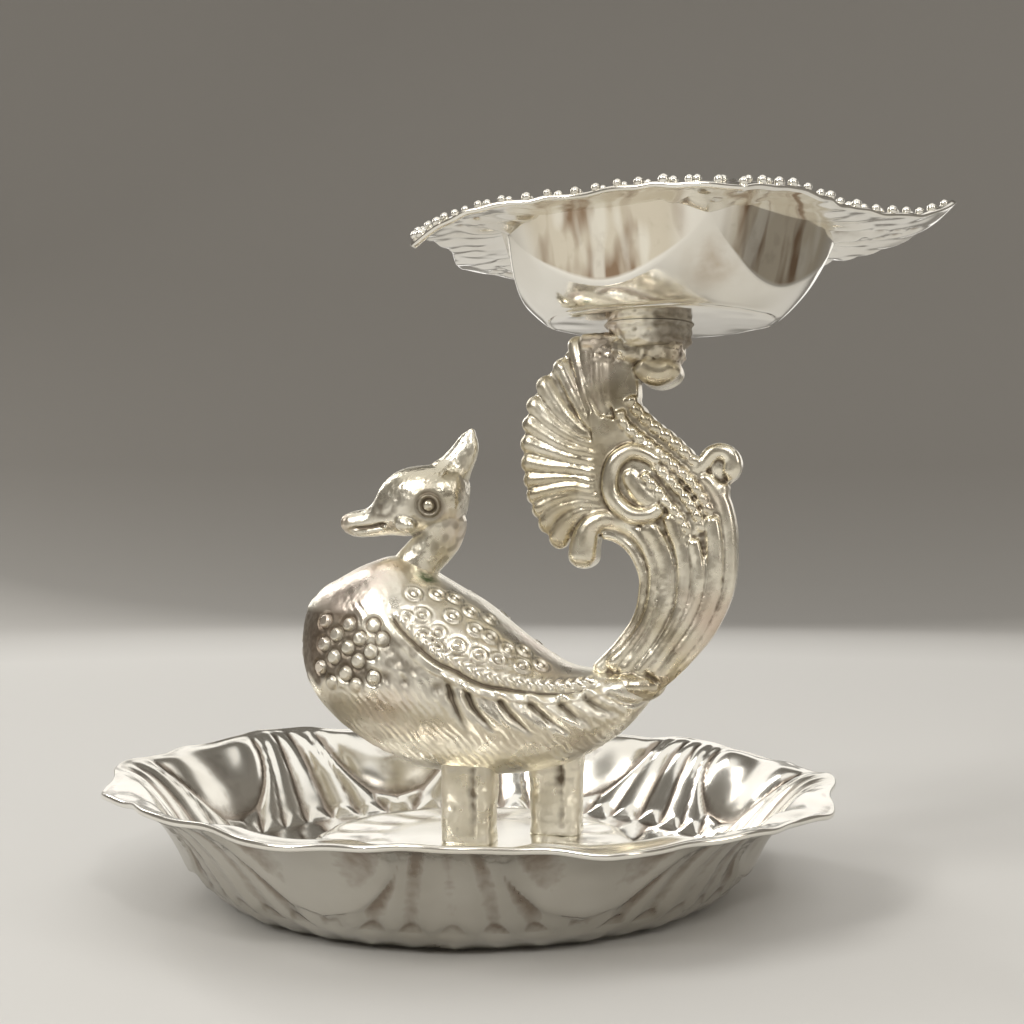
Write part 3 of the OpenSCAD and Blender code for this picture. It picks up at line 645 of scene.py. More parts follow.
def plate_rings(columns):
    """The sheet's lower face as rings from the middle out. Round the wall, each fan
    has five ribs that spread towards the foot, and the smooth windows between widen towards
    the rim; the rim waves sixteen times; the raised centre has sixteen petals."""
    turn = np.arange(columns) * TAU / columns
    petal = np.cos(turn * PLATE_FANS * 2)
    foot_r, top_r = PLATE_FOOT_D / 2, ROSETTE_D / 2
    inner_r = foot_r - PLATE_FOOT_BAND
    rings = []
    # Raised centre: flat, then shallow petals with a raised line round each
    for r in np.concatenate([[0.6], np.linspace(3, top_r - 0.4, 16)]):
        share = np.clip((r - 12.5) / (top_r - 12.5), 0, 1)
        cup = 0.32 * ease(share * 3) * ease((1 - share) * 2.5) * (0.5 - 0.5 * petal)
        line = 0.16 * hump(r - 12.6, 0.35)
        rings.append((r * np.ones(columns), ROSETTE_H - PLATE_WALL - cup - line))
    for share in np.linspace(0, 1, 10)[1:]:
        drop = (ROSETTE_H - PLATE_WALL) * (1 - ease(share) * 0.55 - share * 0.45)
        bulge = 0.7 * math.sin(math.pi * share) * petal
        rings.append((top_r + (inner_r - top_r) * share + bulge, drop * np.ones(columns)))
    for r in (inner_r + 0.6, (inner_r + foot_r) / 2, foot_r - 0.4):
        rings.append((r * np.ones(columns), np.zeros(columns)))
    # Wall: fans of five ribs, and a smooth U-shaped window between each two in the upper half
    r_shares = [0, 0.12, 0.25, 0.37, 0.49, 0.63, 0.80, 1]
    z_shares = [0, 0.03, 0.11, 0.25, 0.45, 0.68, 0.88, 1]
    steps = np.hypot(np.diff(r_shares) * 19, np.diff(z_shares) * 15.3)
    run = np.concatenate([[0.0], np.cumsum(steps)])
    scallop = PLATE_SCALLOP * (0.5 - 0.5 * petal)
    q = np.abs(((turn * PLATE_FANS / TAU + 0.5) % 1) - 0.5)
    for share in np.linspace(0, 1, 80):
        r_share = through(run, r_shares, share * run[-1])
        z_share = through(run, z_shares, share * run[-1])
        inside = 1 - np.sqrt(((0.5 - q) / 0.335) ** 2 + ((1 - share) / 0.56) ** 2)
        gap = inside * 11.5 * (0.6 + 0.4 * share)
        spread = 0.17 + 0.36 * (1 - share) ** 1.1
        ribs = 0.56 * np.abs(np.cos(2.5 * math.pi * q / spread)) ** 0.8 - 0.22
        lobes = 0.34 * hump(share - 0.30 - 0.03 * np.cos(5 * math.pi * q / spread), 0.030)
        lower = 0.30 * np.abs(np.sin(2.5 * math.pi * q / spread)) - 0.10
        fan = np.where(share < 0.27, lower * ease((0.27 - share) / 0.06), ribs) + lobes * 0.6
        scoop = 0.85 * ease(gap / 4.0) + 0.10
        relief = np.where(gap > 0, scoop, fan * ease(-gap / 0.8)) - 0.60 * hump(gap, 0.8)
        level = ease(share * 6) * ease((1 - share) * 7)
        lip = ease((share - 0.94) / 0.06)
        r = foot_r + (PLATE_D / 2 - scallop - foot_r) * r_share + 0.25 * lip
        z = ((PLATE_H - PLATE_WALL) * z_share + relief * level - 0.25 * lip
             + share**4 * (0.42 * np.cos(turn * PLATE_FANS) - PLATE_SWAY * np.cos(turn + PLATE_TURN)
                           + 0.16 * np.sin(turn * 3 + 0.7) + 0.12 * np.sin(turn * 5 + 2.0)
                           + 0.10 * np.sin(turn * 23 + 1.0) + 0.07 * np.sin(turn * 37 + 0.4)))
        rings.append((r, z))
    return np.stack([round_rings(r, z, turn + PLATE_TURN) for r, z in rings])


def make_plate(material):
    """The plate: its lower face, the same face lifted by the sheet's thickness, and between them a
    rolled edge. Its outside is left unpolished, and painted darker as shade."""
    lower = plate_rings(PLATE_COLUMNS)
    upper = lower + np.array([0, 0, PLATE_WALL])
    rim = (lower[-1] + upper[-1]) / 2
    out = sideways(rim)
    edge = [rim + out * 0.42 * math.cos(a) + UP * PLATE_WALL * 0.58 * math.sin(a)
            for a in np.radians(np.linspace(-60, 60, 5))]
    rings = np.concatenate([lower, np.stack(edge), upper[::-1]])
    # Painted shade: the outside faces are marked darker, beside their rougher unpolished finish.
    unpolished_and_shaded = np.zeros(rings.shape[:2])
    unpolished_and_shaded[:len(lower) - 3] = 0.55
    add_piece("pressed_plate", [lofted(rings)], ["base_plate"], material,
              marks={"soil_and_shade": with_poles(unpolished_and_shaded)})


# The body's two shells

STATION_X = [0, 0.016, 0.05, 0.115, 0.194, 0.273, 0.33, 0.38, 0.445, 0.52, 0.605, 0.685, 0.767,
    0.846, 0.925, 0.974, 1]
STATION_TOP = [0.64, 0.75, 0.83, 0.9, 0.965, 1, 0.975, 0.925, 0.862, 0.79, 0.68, 0.58, 0.505, 0.485,
    0.47, 0.45, 0.42]
STATION_LOW = [0.51, 0.434, 0.34, 0.227, 0.135, 0.07, 0.035, 0.015, 0.003, 0, 0.002, 0.023, 0.06,
    0.128, 0.227, 0.32, 0.38]
STATION_W = [0.12, 0.34, 0.56, 0.77, 0.9, 0.97, 0.99, 1, 1, 0.975, 0.925, 0.845, 0.74, 0.61, 0.44,
    0.29, 0.14]
SQUARENESS = 0.91
BELT = 0.46


def body_section(share, angle):
    """Points of the body's outside at stations along it and angles from the top round the near
    side: half a superellipse whose widest place is a little below the middle."""
    top = BELLY_Z + BODY_H * through(STATION_X, STATION_TOP, share)
    low = BELLY_Z + BODY_H * through(STATION_X, STATION_LOW, share)
    half_w = BODY_W / 2 * through(STATION_X, STATION_W, share)
    mid = low + (top - low) * BELT
    c = np.clip(np.cos(angle), 0, 1) ** SQUARENESS
    s = np.sign(np.sin(angle)) * np.abs(np.sin(angle)) ** SQUARENESS
    z = np.where(s > 0, mid + (top - mid) * s, mid + (mid - low) * s)
    return np.stack(np.broadcast_arrays(share * BODY_L - BREAST_X, -half_w * c, z), -1)


def body_grid(stations, arcs):
    """The body's plain outside as a grid: stations closer together at the ends, by a sine, and
    angles from the top seam to the bottom one."""
    v = np.linspace(0, 1, stations)[:, None]
    share = v - 0.10 * np.sin(TAU * v)
    angle = np.linspace(math.pi / 2, -math.pi / 2, arcs)[None, :]
    return body_section(share, angle)


def onto_body(pixels, grid):
    """The body's points nearest to the rays through pixels of the photograph."""
    flat = grid.reshape(-1, 3)
    facing = np.sum((EYE - flat) * normals_of(grid, False).reshape(-1, 3), axis=1)
    flat = flat[(facing if facing.mean() > 0 else -facing) > 0]
    way = rays(pixels)
    way /= np.linalg.norm(way, axis=1)[:, None]
    found = []
    for ray in way:
        off = flat - EYE
        along = off @ ray
        gap = np.linalg.norm(off - along[:, None] * ray, axis=1)
        found.append(flat[np.argmin(gap)])
    return np.array(found)


BREAST_DOTS_PX = [
    (324.5, 620.4), (348, 624.1), (372.9, 625.6), (334.8, 634.4), (359, 638), (381, 639.5),
    (322.5, 644), (346.5, 647.6), (370, 651.2), (332.6, 657.9), (356.8, 660.8), (319.3, 667.4),
    (344.3, 674), (372.2, 677.7), (331.1, 683.5), (354.6, 686.5), (342, 697), (366.3, 701.1),
    (350.9, 709.2), (378, 712), (361.9, 723.1), (390, 722), (373.6, 733.4)]
COVERT_RINGS_PX = [
    (414, 593.3), (437.5, 594), (422.1, 614.6), (406.7, 618.2), (452.1, 615.3), (438.2, 632.2),
    (457.3, 646.1), (478.6, 655.6), (474.9, 629.2), (470.5, 611), (490.6, 636.3), (497.2, 659.8),
    (521.4, 665.6), (541.2, 664.2), (489.9, 618.3), (508, 649.5), (524, 650), (455, 598),
    (424, 636), (436, 649.5)]
SHOULDER_PITS_PX = [(391.2, 650), (397, 661), (411.8, 670.3), (385, 679), (405, 680.6),
    (437.5, 688), (450, 696)]
WING_LINE_PX = [
    (391, 613), (399, 626), (415, 644), (437, 663), (455, 671), (469, 679), (484, 685), (513, 690),
    (543, 693), (579, 690), (600, 686)]
FEATHER_GAPS_PX = [
    [(447, 686), (452, 703), (463, 724), (478, 742)],
    [(467, 696), (475, 711), (491, 728), (512, 744)],
    [(500, 703), (510, 714), (528, 731), (550, 744)],
    [(531, 704), (544, 716), (565, 731), (584, 740)],
    [(561, 704), (575, 716), (598, 728)],
    [(586, 698), (600, 708), (624.8, 716)]]
LUMP_PX = [(621.2, 685)]
LUMP_CREASE_PX = [(608.5, 695.2), (624, 702), (639.1, 704.1), (648, 699)]


FRONT_DOTS = np.array([[-24.9, 0, 35.7], [-25.0, 0, 31.9], [-24.6, 0, 28.1], [-22.9, 0, 24.2]])


def body_relief(grid):
    """Height of the chased ornament over the body's near side, in millimetres, and how far each
    point is darkened by soil and, in the feather gaps, by painted shade."""
    x, z = grid[..., 0], grid[..., 2]
    height = 0.012 * ripple(grid, 1.1, 11) + 0.02 * ripple(grid, 4.0, 12)
    soil_and_shade = np.zeros(x.shape)
    # Breast: round studs, each in a groove, on a ground that is darker in its upper part
    dots = onto_body(BREAST_DOTS_PX, grid)
    gap = to_spots(grid, np.concatenate([dots, FRONT_DOTS]))
    field = ease((39.3 - z) / 0.8) * ease((-11.2 - x + 0.30 * (33 - z)) / 1.6)
    upper = ease((z - 28.6 + 0.8 * ripple(grid, 3.0, 16)) / 1.2)
    faint = 0.05 + 0.95 * ease((z - 27.4) / 3.0)
    stud = 0.16 * ease((0.93 - gap) / 0.20) - 0.36 * hump(gap - 1.12, 0.22)
    height += ease((1.9 - gap) / 0.5) * faint * stud
    height -= field * upper * 0.14 * ease((gap - 0.95) / 0.2)
    soil_and_shade = np.maximum(soil_and_shade, field * upper * ease((gap - 0.90) / 0.16))
    soil_and_shade = np.maximum(soil_and_shade, 0.55 * faint * hump(gap - 1.12, 0.22))
    off = (grid - onto_body([(402, 657)], grid)[0]) / np.array([4.2, 5.0, 3.6])
    smudge = np.linalg.norm(off, axis=-1)
    patchy = ease(ripple(grid, 2.2, 19) * 1.4 + 0.55)
    soil_and_shade = np.maximum(soil_and_shade, 0.75 * ease((1.15 - smudge) / 0.5) * patchy)
    # Wing: a groove, two rows of slanting beads above it and a smooth band below
    line = curve(onto_body(WING_LINE_PX, grid), 0.8)
    gap, run, spot = to_line(grid, line)
    side = np.sign((z - spot[..., 2]) + 0.35 * (x - spot[..., 0]))
    v = gap * side
    ends = ease(run / 1.5) * ease((run_length(line)[-1] - run) / 1.5 + 0.2)
    first = np.clip(np.cos(TAU * (run + 0.9 * v) / 1.5), -0.35, 1)
    second = np.clip(np.cos(TAU * (run - 1.0 * v) / 1.5 + 0.6), -0.35, 1)
    height += ends * (-0.44 * hump(v, 0.30) + 0.50 * hump(v - 0.85, 0.46) * (0.26 + 0.74 * first)
                      + 0.42 * hump(v - 1.85, 0.46) * (0.26 + 0.74 * second) * ease(run / 6 - 0.4)
                      + 0.24 * ease((v + 1.8) / 0.4) * ease((-v - 0.2) / 0.4))
    soil_and_shade = np.maximum(soil_and_shade, ends * (0.55 + 0.35 * ripple(grid, 2.0, 17)) * hump(v, 0.36))
    soil_and_shade = np.maximum(soil_and_shade, ends * 0.45 * hump(v - 0.9, 0.5) * ease(-first * 3))
    soil_and_shade = np.maximum(soil_and_shade, ends * 0.6 * hump(v + 2.0, 0.5)
                      * ease((z - 24) / 4) * ease((-6 - x) / 3))
    # Coverts: rings, each round a small boss
    gap_ring = to_spots(grid, onto_body(COVERT_RINGS_PX, grid))
    above = ease((v - 1.4) / 0.5)
    height += above * (0.26 * hump(gap_ring - 0.92, 0.20) + 0.26 * hump(gap_ring, 0.34)
                       - 0.20 * hump(gap_ring - 0.52, 0.17) - 0.14 * hump(gap_ring - 1.32, 0.22))
    dip = np.maximum(hump(gap_ring - 0.52, 0.17), 0.7 * hump(gap_ring - 1.32, 0.2))
    soil_and_shade = np.maximum(soil_and_shade, above * 0.5 * dip)
    # Flank feathers: a deep gap under each root, which fades as it runs down, with painted shade
    # darkening the gap
    for gap_px in FEATHER_GAPS_PX:
        crease = curve(onto_body(gap_px, grid), 0.7)
        gap, run, spot = to_line(grid, crease)
        side = (x - spot[..., 0]) + 0.6 * (z - spot[..., 2])
        fade = ease((run_length(crease)[-1] * 1.02 - run) / (run_length(crease)[-1] * 0.85))
        height += fade * (-0.42 * hump(gap, 0.42) + 0.46 * hump(gap - 1.05, 0.60) * ease(side / 0.5)
                          + 0.14 * hump(gap - 1.1, 0.6) * ease(-side / 0.5))
        # Painted shade along the gap.
        soil_and_shade = np.maximum(soil_and_shade, fade**2 * 0.75 * hump(gap, 0.45))
    below = ease((-v - 2.2) / 0.8) * ease((x + 17) / 4) * ease((24 - x) / 4)
    stroke = 0.82 * x + 0.57 * z + 0.2 * ripple(grid, 3.0, 14)
    hatch = np.sin(TAU * stroke / 0.98) * (0.65 + 0.35 * ripple(grid, 2.2, 15))
    height += below * 0.05 * hatch * ease((z - 16.5) / 3)
    for pit in onto_body(SHOULDER_PITS_PX, grid):
        gap = np.linalg.norm(grid - pit, axis=-1)
        height -= 0.30 * hump(gap, 0.75)
        soil_and_shade = np.maximum(soil_and_shade, 0.8 * hump(gap, 1.0 + 0.35 * ripple(grid, 1.6, 18)))
    # Root of the tail: a smooth lump with a crease under it
    lump = onto_body(LUMP_PX, grid)[0]
    off = (grid - lump) / np.array([3.6, 3.0, 1.5])
    height += 0.75 * hump(np.linalg.norm(off, axis=-1), 0.9)
    gap, _, _ = to_line(grid, curve(onto_body(LUMP_CREASE_PX, grid), 0.8))
    height -= 0.35 * hump(gap, 0.4)
    return height, soil_and_shade


def body_shell(side):
    """One half of the body: the chased outside, a thin plain inside, and a flat seam. Gives the
    skin and how far its points are darkened by soil and painted shade."""
    grid = body_grid(BODY_STATIONS, BODY_ARCS)
    normal = normals_of(grid, False)
    if np.mean(normal[..., 1]) > 0:
        normal = -normal
    height, soil_and_shade = body_relief(grid)
    outside = grid + normal * height[..., None]
    outside[:, 0] = grid[:, 0] + np.array([0, 0, 1]) * height[:, :1]
    outside[:, -1] = grid[:, -1] - np.array([0, 0, 1]) * height[:, -1:]
    outside[..., 1] = np.minimum(outside[..., 1] - SEAM, -SEAM)
    middle = np.stack([grid[:, 0, 0], np.full(len(grid), -SEAM),
                       grid[:, 0, 2] * 0.54 + grid[:, -1, 2] * 0.46], -1)[:, None]
    tall = (grid[:, 0, 2] - grid[:, -1, 2])[:, None, None] / 2
    hollow = np.clip(1 - BODY_WALL / tall, 0.12, 1)
    inside = (middle + (grid[:, ::-12] - middle) * hollow)
    inside[..., 1] = np.minimum(inside[..., 1], -SEAM)
    rings = np.concatenate([outside, inside], 1)
    marks = np.concatenate([soil_and_shade, np.zeros(inside.shape[:2])], 1)
    ends = []
    for base, way in ((rings[0], -1), (rings[-1], 1)):
        centre = base.mean(0)
        centre[1] = -SEAM
        caps = []
        for a in np.radians([25, 45, 62, 76]):
            ring = centre + (base - centre) * math.cos(a)
            ring[:, 0] = base[:, 0] + way * 0.45 * math.sin(a)
            caps.append(ring)
        ends.append(np.stack(caps if way > 0 else caps[::-1]))
    rings = np.concatenate([ends[0], rings, ends[1]])
    marks = np.concatenate([np.repeat(marks[:1], 4, 0), marks, np.zeros((4, marks.shape[1]))])
    if side > 0:
        rings = rings * np.array([1, -1, 1])
    return lofted(rings), with_poles(marks)


def make_body(material):
    """The two halves of the body. The far one is the near one mirrored in the middle plane."""
    for side, name, node in ((-1, "body_near_half", "body_left_shell"),
                             (1, "body_far_half", "body_right_shell")):
        shell, soil_and_shade = body_shell(side)
        add_piece(name, [shell], [node], material, 30, {"soil_and_shade": soil_and_shade})


# Head and neck

HEAD_X = [0, 0.03, 0.11, 0.23, 0.36, 0.5, 0.6, 0.68, 0.725, 0.78, 0.86, 0.94, 0.985, 1]
HEAD_TOP = [0.83, 0.915, 0.97, 0.995, 0.985, 0.955, 0.885, 0.775, 0.655, 0.585, 0.553, 0.526, 0.49,
    0.45]
HEAD_LOW = [0.69, 0.5, 0.38, 0.32, 0.3, 0.3, 0.305, 0.3, 0.295, 0.29, 0.288, 0.315, 0.36, 0.4]
HEAD_WIDE = [0.3, 0.6, 0.86, 1, 1, 0.88, 0.74, 0.6, 0.52, 0.5, 0.48, 0.42, 0.3, 0.16]
NECK_X = [0.5, 0.455, 0.405, 0.355, 0.292, 0.215, 0.205, 0.21]
NECK_Z = [-0.22, -0.1, 0.0, 0.083, 0.17, 0.315, 0.48, 0.62]
NECK_R = [0.22, 0.2, 0.18, 0.168, 0.165, 0.178, 0.2, 0.18]
EYE_SPOT = (0.238, -0.475, 0.588)
CREST_FRONT_PX = [(428, 470), (433.5, 463), (441.7, 457.3), (451.7, 447.3), (461.6, 435),
    (471.5, 428.3)]
CREST_BACK_PX = [(466, 492), (469, 480), (472, 470), (477, 457.3), (478.6, 444.8), (474.5, 429.5)]


def head_x(share):
    """Place along X at a share of the head's length, from the nape forwards."""
    return HEAD_BACK_X - np.asarray(share) * HEAD_L


def head_z(share):
    """Height at a share of the head's height, from the joint on the back upwards."""
    return HEAD_BASE_Z + np.asarray(share) * HEAD_H


SIDE_BARS = [
    ([(-10.4, 3.3, 51.3, 0.85), (-9.0, 4.0, 51.0, 1.1), (-7.3, 4.4, 50.3, 0.9)], 0.9),
    ([(-13.9, 1.0, 54.3, 0.6), (-13.1, 1.7, 53.9, 0.9), (-12.7, 2.4, 52.9, 0.7)], 1.0),
    ([(-18.4, 0.9, 50.0, 0.35), (-15.4, 2.2, 49.9, 0.45), (-12.2, 2.7, 50.3, 0.5)], 1.0)]


def side_bars(rows, crown):
    """A bar on each side of the head, from rows of x, y, z, radius."""
    found = []
    for side in (-1, 1):
        line = curve([(x, side * abs(y), z, r) for x, y, z, r in rows], 0.3)
        tangent = np.gradient(line[:, :3], axis=0)
        tangent /= np.linalg.norm(tangent, axis=1)[:, None]
        wide = np.cross(tangent, UP)
        wide /= np.linalg.norm(wide, axis=1)[:, None]
        tall = np.cross(wide, tangent)
        s = run_length(line[:, :3])
        rise = np.minimum(s, s[-1] - s) / line[:, 3]
        r = line[:, 3] * np.sqrt(np.clip(1 - (1 - np.clip(rise, 0.02, 1)) ** 2, 0.001, 1))
        a = np.arange(16) * TAU / 16
        r = r[:, None, None]
        found.append(lofted(line[:, None, :3] + r * crown * np.cos(a)[:, None] * wide[:, None]
                            + r * np.sin(a)[:, None] * tall[:, None]))
    return found


def make_head(material):
    """Head, neck, crest and bill: superellipse sections along the head's profile, a round bar
    for the neck and a blade for the crest, fused, then eyes, lips, nostrils and stains as
    bells of the distance to them."""
    share = np.linspace(0, 1, 110)
    share = share - 0.12 * np.sin(TAU * share)
    top, low = (head_z(through(HEAD_X, line, share)) for line in (HEAD_TOP, HEAD_LOW))
    wide = HEAD_W / 2 * through(HEAD_X, HEAD_WIDE, share)
    a = np.arange(48) * TAU / 48
    round_c = np.sign(np.cos(a)) * np.abs(np.cos(a)) ** 0.9
    rings = np.stack(np.broadcast_arrays(
        head_x(share)[:, None], wide[:, None] * np.sin(a),
        ((top + low) / 2)[:, None] - ((top - low) / 2)[:, None] * round_c), -1)
    skins = [lofted(rings)]
    neck = np.column_stack([head_x(NECK_X), head_z(NECK_Z), np.array(NECK_R) * HEAD_L,
                            np.array(NECK_R) * HEAD_L])
    skins.append(bar(neck, sides=40))
    # Crest: a flattened horn that leans back from the crown to a sharp tip
    crest = [on_plane(side, 0.0)[:, [0, 2]] for side in (CREST_FRONT_PX, CREST_BACK_PX)]
    skins.append(blade(*crest, [3.3, 2.7, 1.9, 1.45, 1.0, 0.45]))
    # Cheek, nostril ridge and the lower lip of the bill
    for rows, crown in SIDE_BARS:
        skins += side_bars(rows, crown)
    mesh = fused("head_and_neck_cast", skins, HEAD_VOXEL)
    points, _, normals = read_mesh(mesh)
    height = 0.02 * ripple(points, 0.8, 21) + 0.03 * ripple(points, 2.6, 22)
    soil_and_shade = np.zeros(len(points))
    eye = np.array([head_x(EYE_SPOT[0]), HEAD_W * EYE_SPOT[1], head_z(EYE_SPOT[2])])
    for side in (1, -1):
        spot = eye * np.array([1, side, 1])
        off = points - spot
        flat = np.hypot(off[:, 0], off[:, 2])
        here = hump(off[:, 1], 2.6) * (points[:, 1] * spot[1] > 0)
        bead = np.sqrt(np.clip(1 - (flat / 0.78) ** 2, 0, 1))
        height += here * (-0.26 * hump(flat - 1.78, 0.24) + 0.24 * hump(flat - 1.33, 0.22)
                          - 0.30 * hump(flat - 0.93, 0.18) + 0.55 * bead)
        ring = np.maximum(hump(flat - 1.75, 0.30), hump(flat - 0.93, 0.2))
        soil_and_shade = np.maximum(soil_and_shade, here * 0.7 * ease((2.6 - flat) / 0.7) * (flat > 0.7))
        behind = 0.55 * hump(off[:, 0] + 1.6, 1.5) * hump(off[:, 2] + 0.1, 1.7) * (flat > 0.85)
        soil_and_shade = np.maximum(soil_and_shade, here * np.maximum(0.9 * ring, behind))
        lip = np.array([[-19.1, side * -0.7, 50.35], [-17.0, side * -2.1, 50.35],
                        [-14.4, side * -2.5, 50.5], [-12.2, side * -2.8, 50.9]])
        gap, _, _ = to_line(points, curve(lip, 0.5))
        height -= 0.36 * hump(gap, 0.28)
        soil_and_shade = np.maximum(soil_and_shade, 0.85 * hump(gap, 0.34))
        for pit, size in (((-9.7, side * -3.9, 54.4), 0.55), ((-14.6, side * -1.9, 52.9), 0.5)):
            gap = np.linalg.norm(points - np.array(pit), axis=1)
            height -= 0.22 * hump(gap, size)
            soil_and_shade = np.maximum(soil_and_shade, 0.7 * hump(gap, size * 1.3))
        off = (points - np.array([-12.2, side * -3.0, 53.0])) / np.array([2.2, 3, 1.2])
        tint = ease((1.5 - np.linalg.norm(off, axis=1)) / 0.8)
        soil_and_shade = np.maximum(soil_and_shade, 0.85 * tint * ease(0.55 + 0.8 * ripple(points, 1.6, 23)))
        crease = np.array([[-3.6, -1.6, 59.4], [-2.4, -1.3, 60.8], [-1.0, -0.9, 62.4]])
        gap, _, _ = to_line(points, crease * np.array([1, side, 1]))
        height -= 0.18 * hump(gap, 0.22)
    x, _, z = points.T
    mottled = ease((53.5 - z) / 3) * ease((z - 45.5) / 2) * ease((x + 8.5) / 2)
    soil_and_shade = np.maximum(soil_and_shade, 0.5 * mottled * ease(ripple(points, 1.8, 24) * 1.2 + 0.1))
    put_points(mesh, points + normals * height[:, None])
    finish_piece("head_and_neck_cast", mesh, ["head_and_neck"], material, 40, {"soil_and_shade": soil_and_shade})


# The scroll tail. Lines are pixels of the photograph with a half width in millimetres.


def px_bar(rows, half_t, y=-2.5, **more):
    """A bar whose rows are pixel column, pixel row, half width; half_t is one half thickness
    or one for each row."""
    rows = np.asarray(rows, float)
    where = on_plane(rows[:, :2], y)
    return bar(np.column_stack([where[:, 0], where[:, 2], rows[:, 2],
                                np.broadcast_to(half_t, len(rows))]), **more)


RIBS_PX = [
    [(574.5, 335), (577, 350), (582, 371.5), (589, 399.7), (600, 424)],
    [(557.5, 358), (567.5, 378), (576.8, 397.3), (590.6, 421.9), (604, 437)],
    [(540, 376), (555.5, 403), (575.3, 426.8), (602.9, 443), (611, 447)],
    [(528.5, 397), (550, 421.5), (576.3, 438.8), (609, 450.4)],
    [(522.5, 418), (545, 434), (568, 447.1), (604.9, 457)],
    [(519.5, 440), (544.8, 449), (570, 457), (601.6, 463.7)],
    [(519.5, 461), (547, 466), (572, 468.6), (600.2, 473.6)],
    [(522, 480.5), (549, 479), (576.3, 478.6), (598.2, 483.6)],
    [(525, 498), (547, 491.5), (568, 487.5), (598.9, 489.5)],
    [(531.5, 514), (554, 501), (578, 495.3), (604.9, 498.5)],
    [(540, 531), (557, 511.5), (580, 503), (609.5, 507)],
    [(553.5, 548), (566, 525), (583, 512), (612, 514)]]
RIB_HALF_MM = [1.35, 1.4, 1.5, 1.45, 1.42, 1.42, 1.4, 1.3, 1.25, 1.3, 1.4, 1.5]
FLUTES_PX = [
    ([(600, 534.5, 0.6), (611, 535.5, 0.75), (622.4, 541, 0.75), (636.4, 557.6, 0.75),
     (643.3, 575.4, 0.75), (643.3, 593.3, 0.75), (639, 615, 0.8), (627.5, 636.7, 0.9),
     (612.2, 655.8, 1.0), (594, 675, 1.2)], 2.9, 1.0),
    ([(580.5, 569.5, 1.7), (581.5, 557.5, 2.0), (583.5, 543, 1.9), (588.5, 529, 1.65),
     (602, 520.2, 1.5), (619.9, 521.9, 1.4), (637.7, 533.4, 1.2), (649.2, 551.2, 0.95),
     (654.3, 567.8, 0.85), (655, 583.1, 0.85), (653, 600.9, 0.9), (645.4, 623.9, 0.95),
     (630.1, 646.8, 1.05), (607, 670, 1.2)], 3.6, 0.9),
    ([(642.7, 520, 1.2), (651, 532, 1.4), (661, 548.9, 1.45), (666.5, 570.5, 1.45),
     (666.8, 590, 1.45), (663, 611, 1.4), (651, 635.3, 1.35), (638, 654.4, 1.3), (620, 678, 1.3)],
     3.85, 0.7),
    ([(668, 511, 0.95), (674.5, 529, 1.1), (681, 545.6, 1.1), (685, 570.5, 1.05), (684, 590, 1.05),
     (680.5, 611, 1.05), (672.5, 628.9, 1.05), (661, 646.7, 1.05), (634, 678, 1.1)], 4.1, 0.85),
    ([(693, 536, 0.8), (698.4, 570.5, 0.95), (697, 590, 0.95), (691.5, 608.5, 0.95),
     (682.4, 625.1, 0.95), (671, 641.6, 1.0), (646, 676, 1.1)], 4.15, 0.85),
    ([(711, 513, 0.95), (714.5, 545.6, 1.2), (713.8, 570.5, 1.3), (711, 590, 1.35),
     (705.4, 608.5, 1.35), (694.2, 631.4, 1.3), (681.2, 649, 1.25), (654, 682, 1.2)], 3.9, 0.8),
    ([(697.4, 474, 1.0), (707.2, 481.3, 1.1), (718.4, 495.8, 1.15), (726.5, 520.7, 1.15),
     (729.4, 553.9, 1.0), (726.4, 590, 0.95), (719.5, 609.5, 0.95), (708, 630.9, 0.95),
     (693.2, 650, 0.95), (676.6, 667.6, 0.95), (660, 681.6, 1.0), (651, 688.6, 1.05)], 3.2, 1.0)]
ROPES_PX = [
    ([(628, 394, 0.8), (633.5, 405, 0.85), (649, 422.5, 0.85), (669.7, 438.6, 0.85),
     (682, 450, 0.85), (693, 460.4, 0.8), (701, 469, 0.7)], 3.6, (1.75, 0.3)),
    ([(618.6, 408.5, 0.7), (625.1, 424.5, 0.75), (638, 436.6, 0.78), (650, 446.3, 0.78),
     (661.6, 455.4, 0.78), (672, 464.5, 0.75), (683, 474, 0.72), (697.5, 490.2, 0.7),
     (706.3, 506.8, 0.68), (711, 520, 0.6)], 3.95, (1.5, 0.3)),
    ([(652, 461.5, 0.65), (664, 473.9, 0.72), (675.3, 485.9, 0.72), (686.3, 498, 0.7),
     (697, 515, 0.68), (702.5, 536, 0.6)], 4.05, (1.5, 0.3)),
    ([(641.6, 472.5, 0.6), (654.3, 486.2, 0.72), (665.7, 500.8, 0.72), (677.2, 514.4, 0.72),
     (685.6, 528.7, 0.7), (689, 547, 0.6)], 4.1, (1.5, 0.3))]
NECK_FLUTES_PX = [
    ([(631.5, 402, 1.0), (629.5, 384.7, 1.15), (628, 366.5, 1.15), (626, 346.6, 1.2),
     (625, 333, 1.3)], 2.9, 0.45),
    ([(613.8, 411, 0.95), (610, 393, 1.1), (608, 371.5, 1.15), (607.5, 349.9, 1.25),
     (608.5, 333, 1.3)], 3.1, 0.6),
    ([(599.5, 338, 1.2), (598.4, 362, 1.05), (599.5, 384, 1.0), (605, 409.6, 0.95),
     (616.1, 431.8, 0.85), (633, 450, 0.7)], 2.9, 0.8),
    ([(588, 334, 1.35), (588, 360, 1.15), (591, 386, 1.05), (598.5, 411, 0.95), (610, 434.1, 0.85),
     (622.8, 449.7, 0.7)], 2.6, 0.8)]
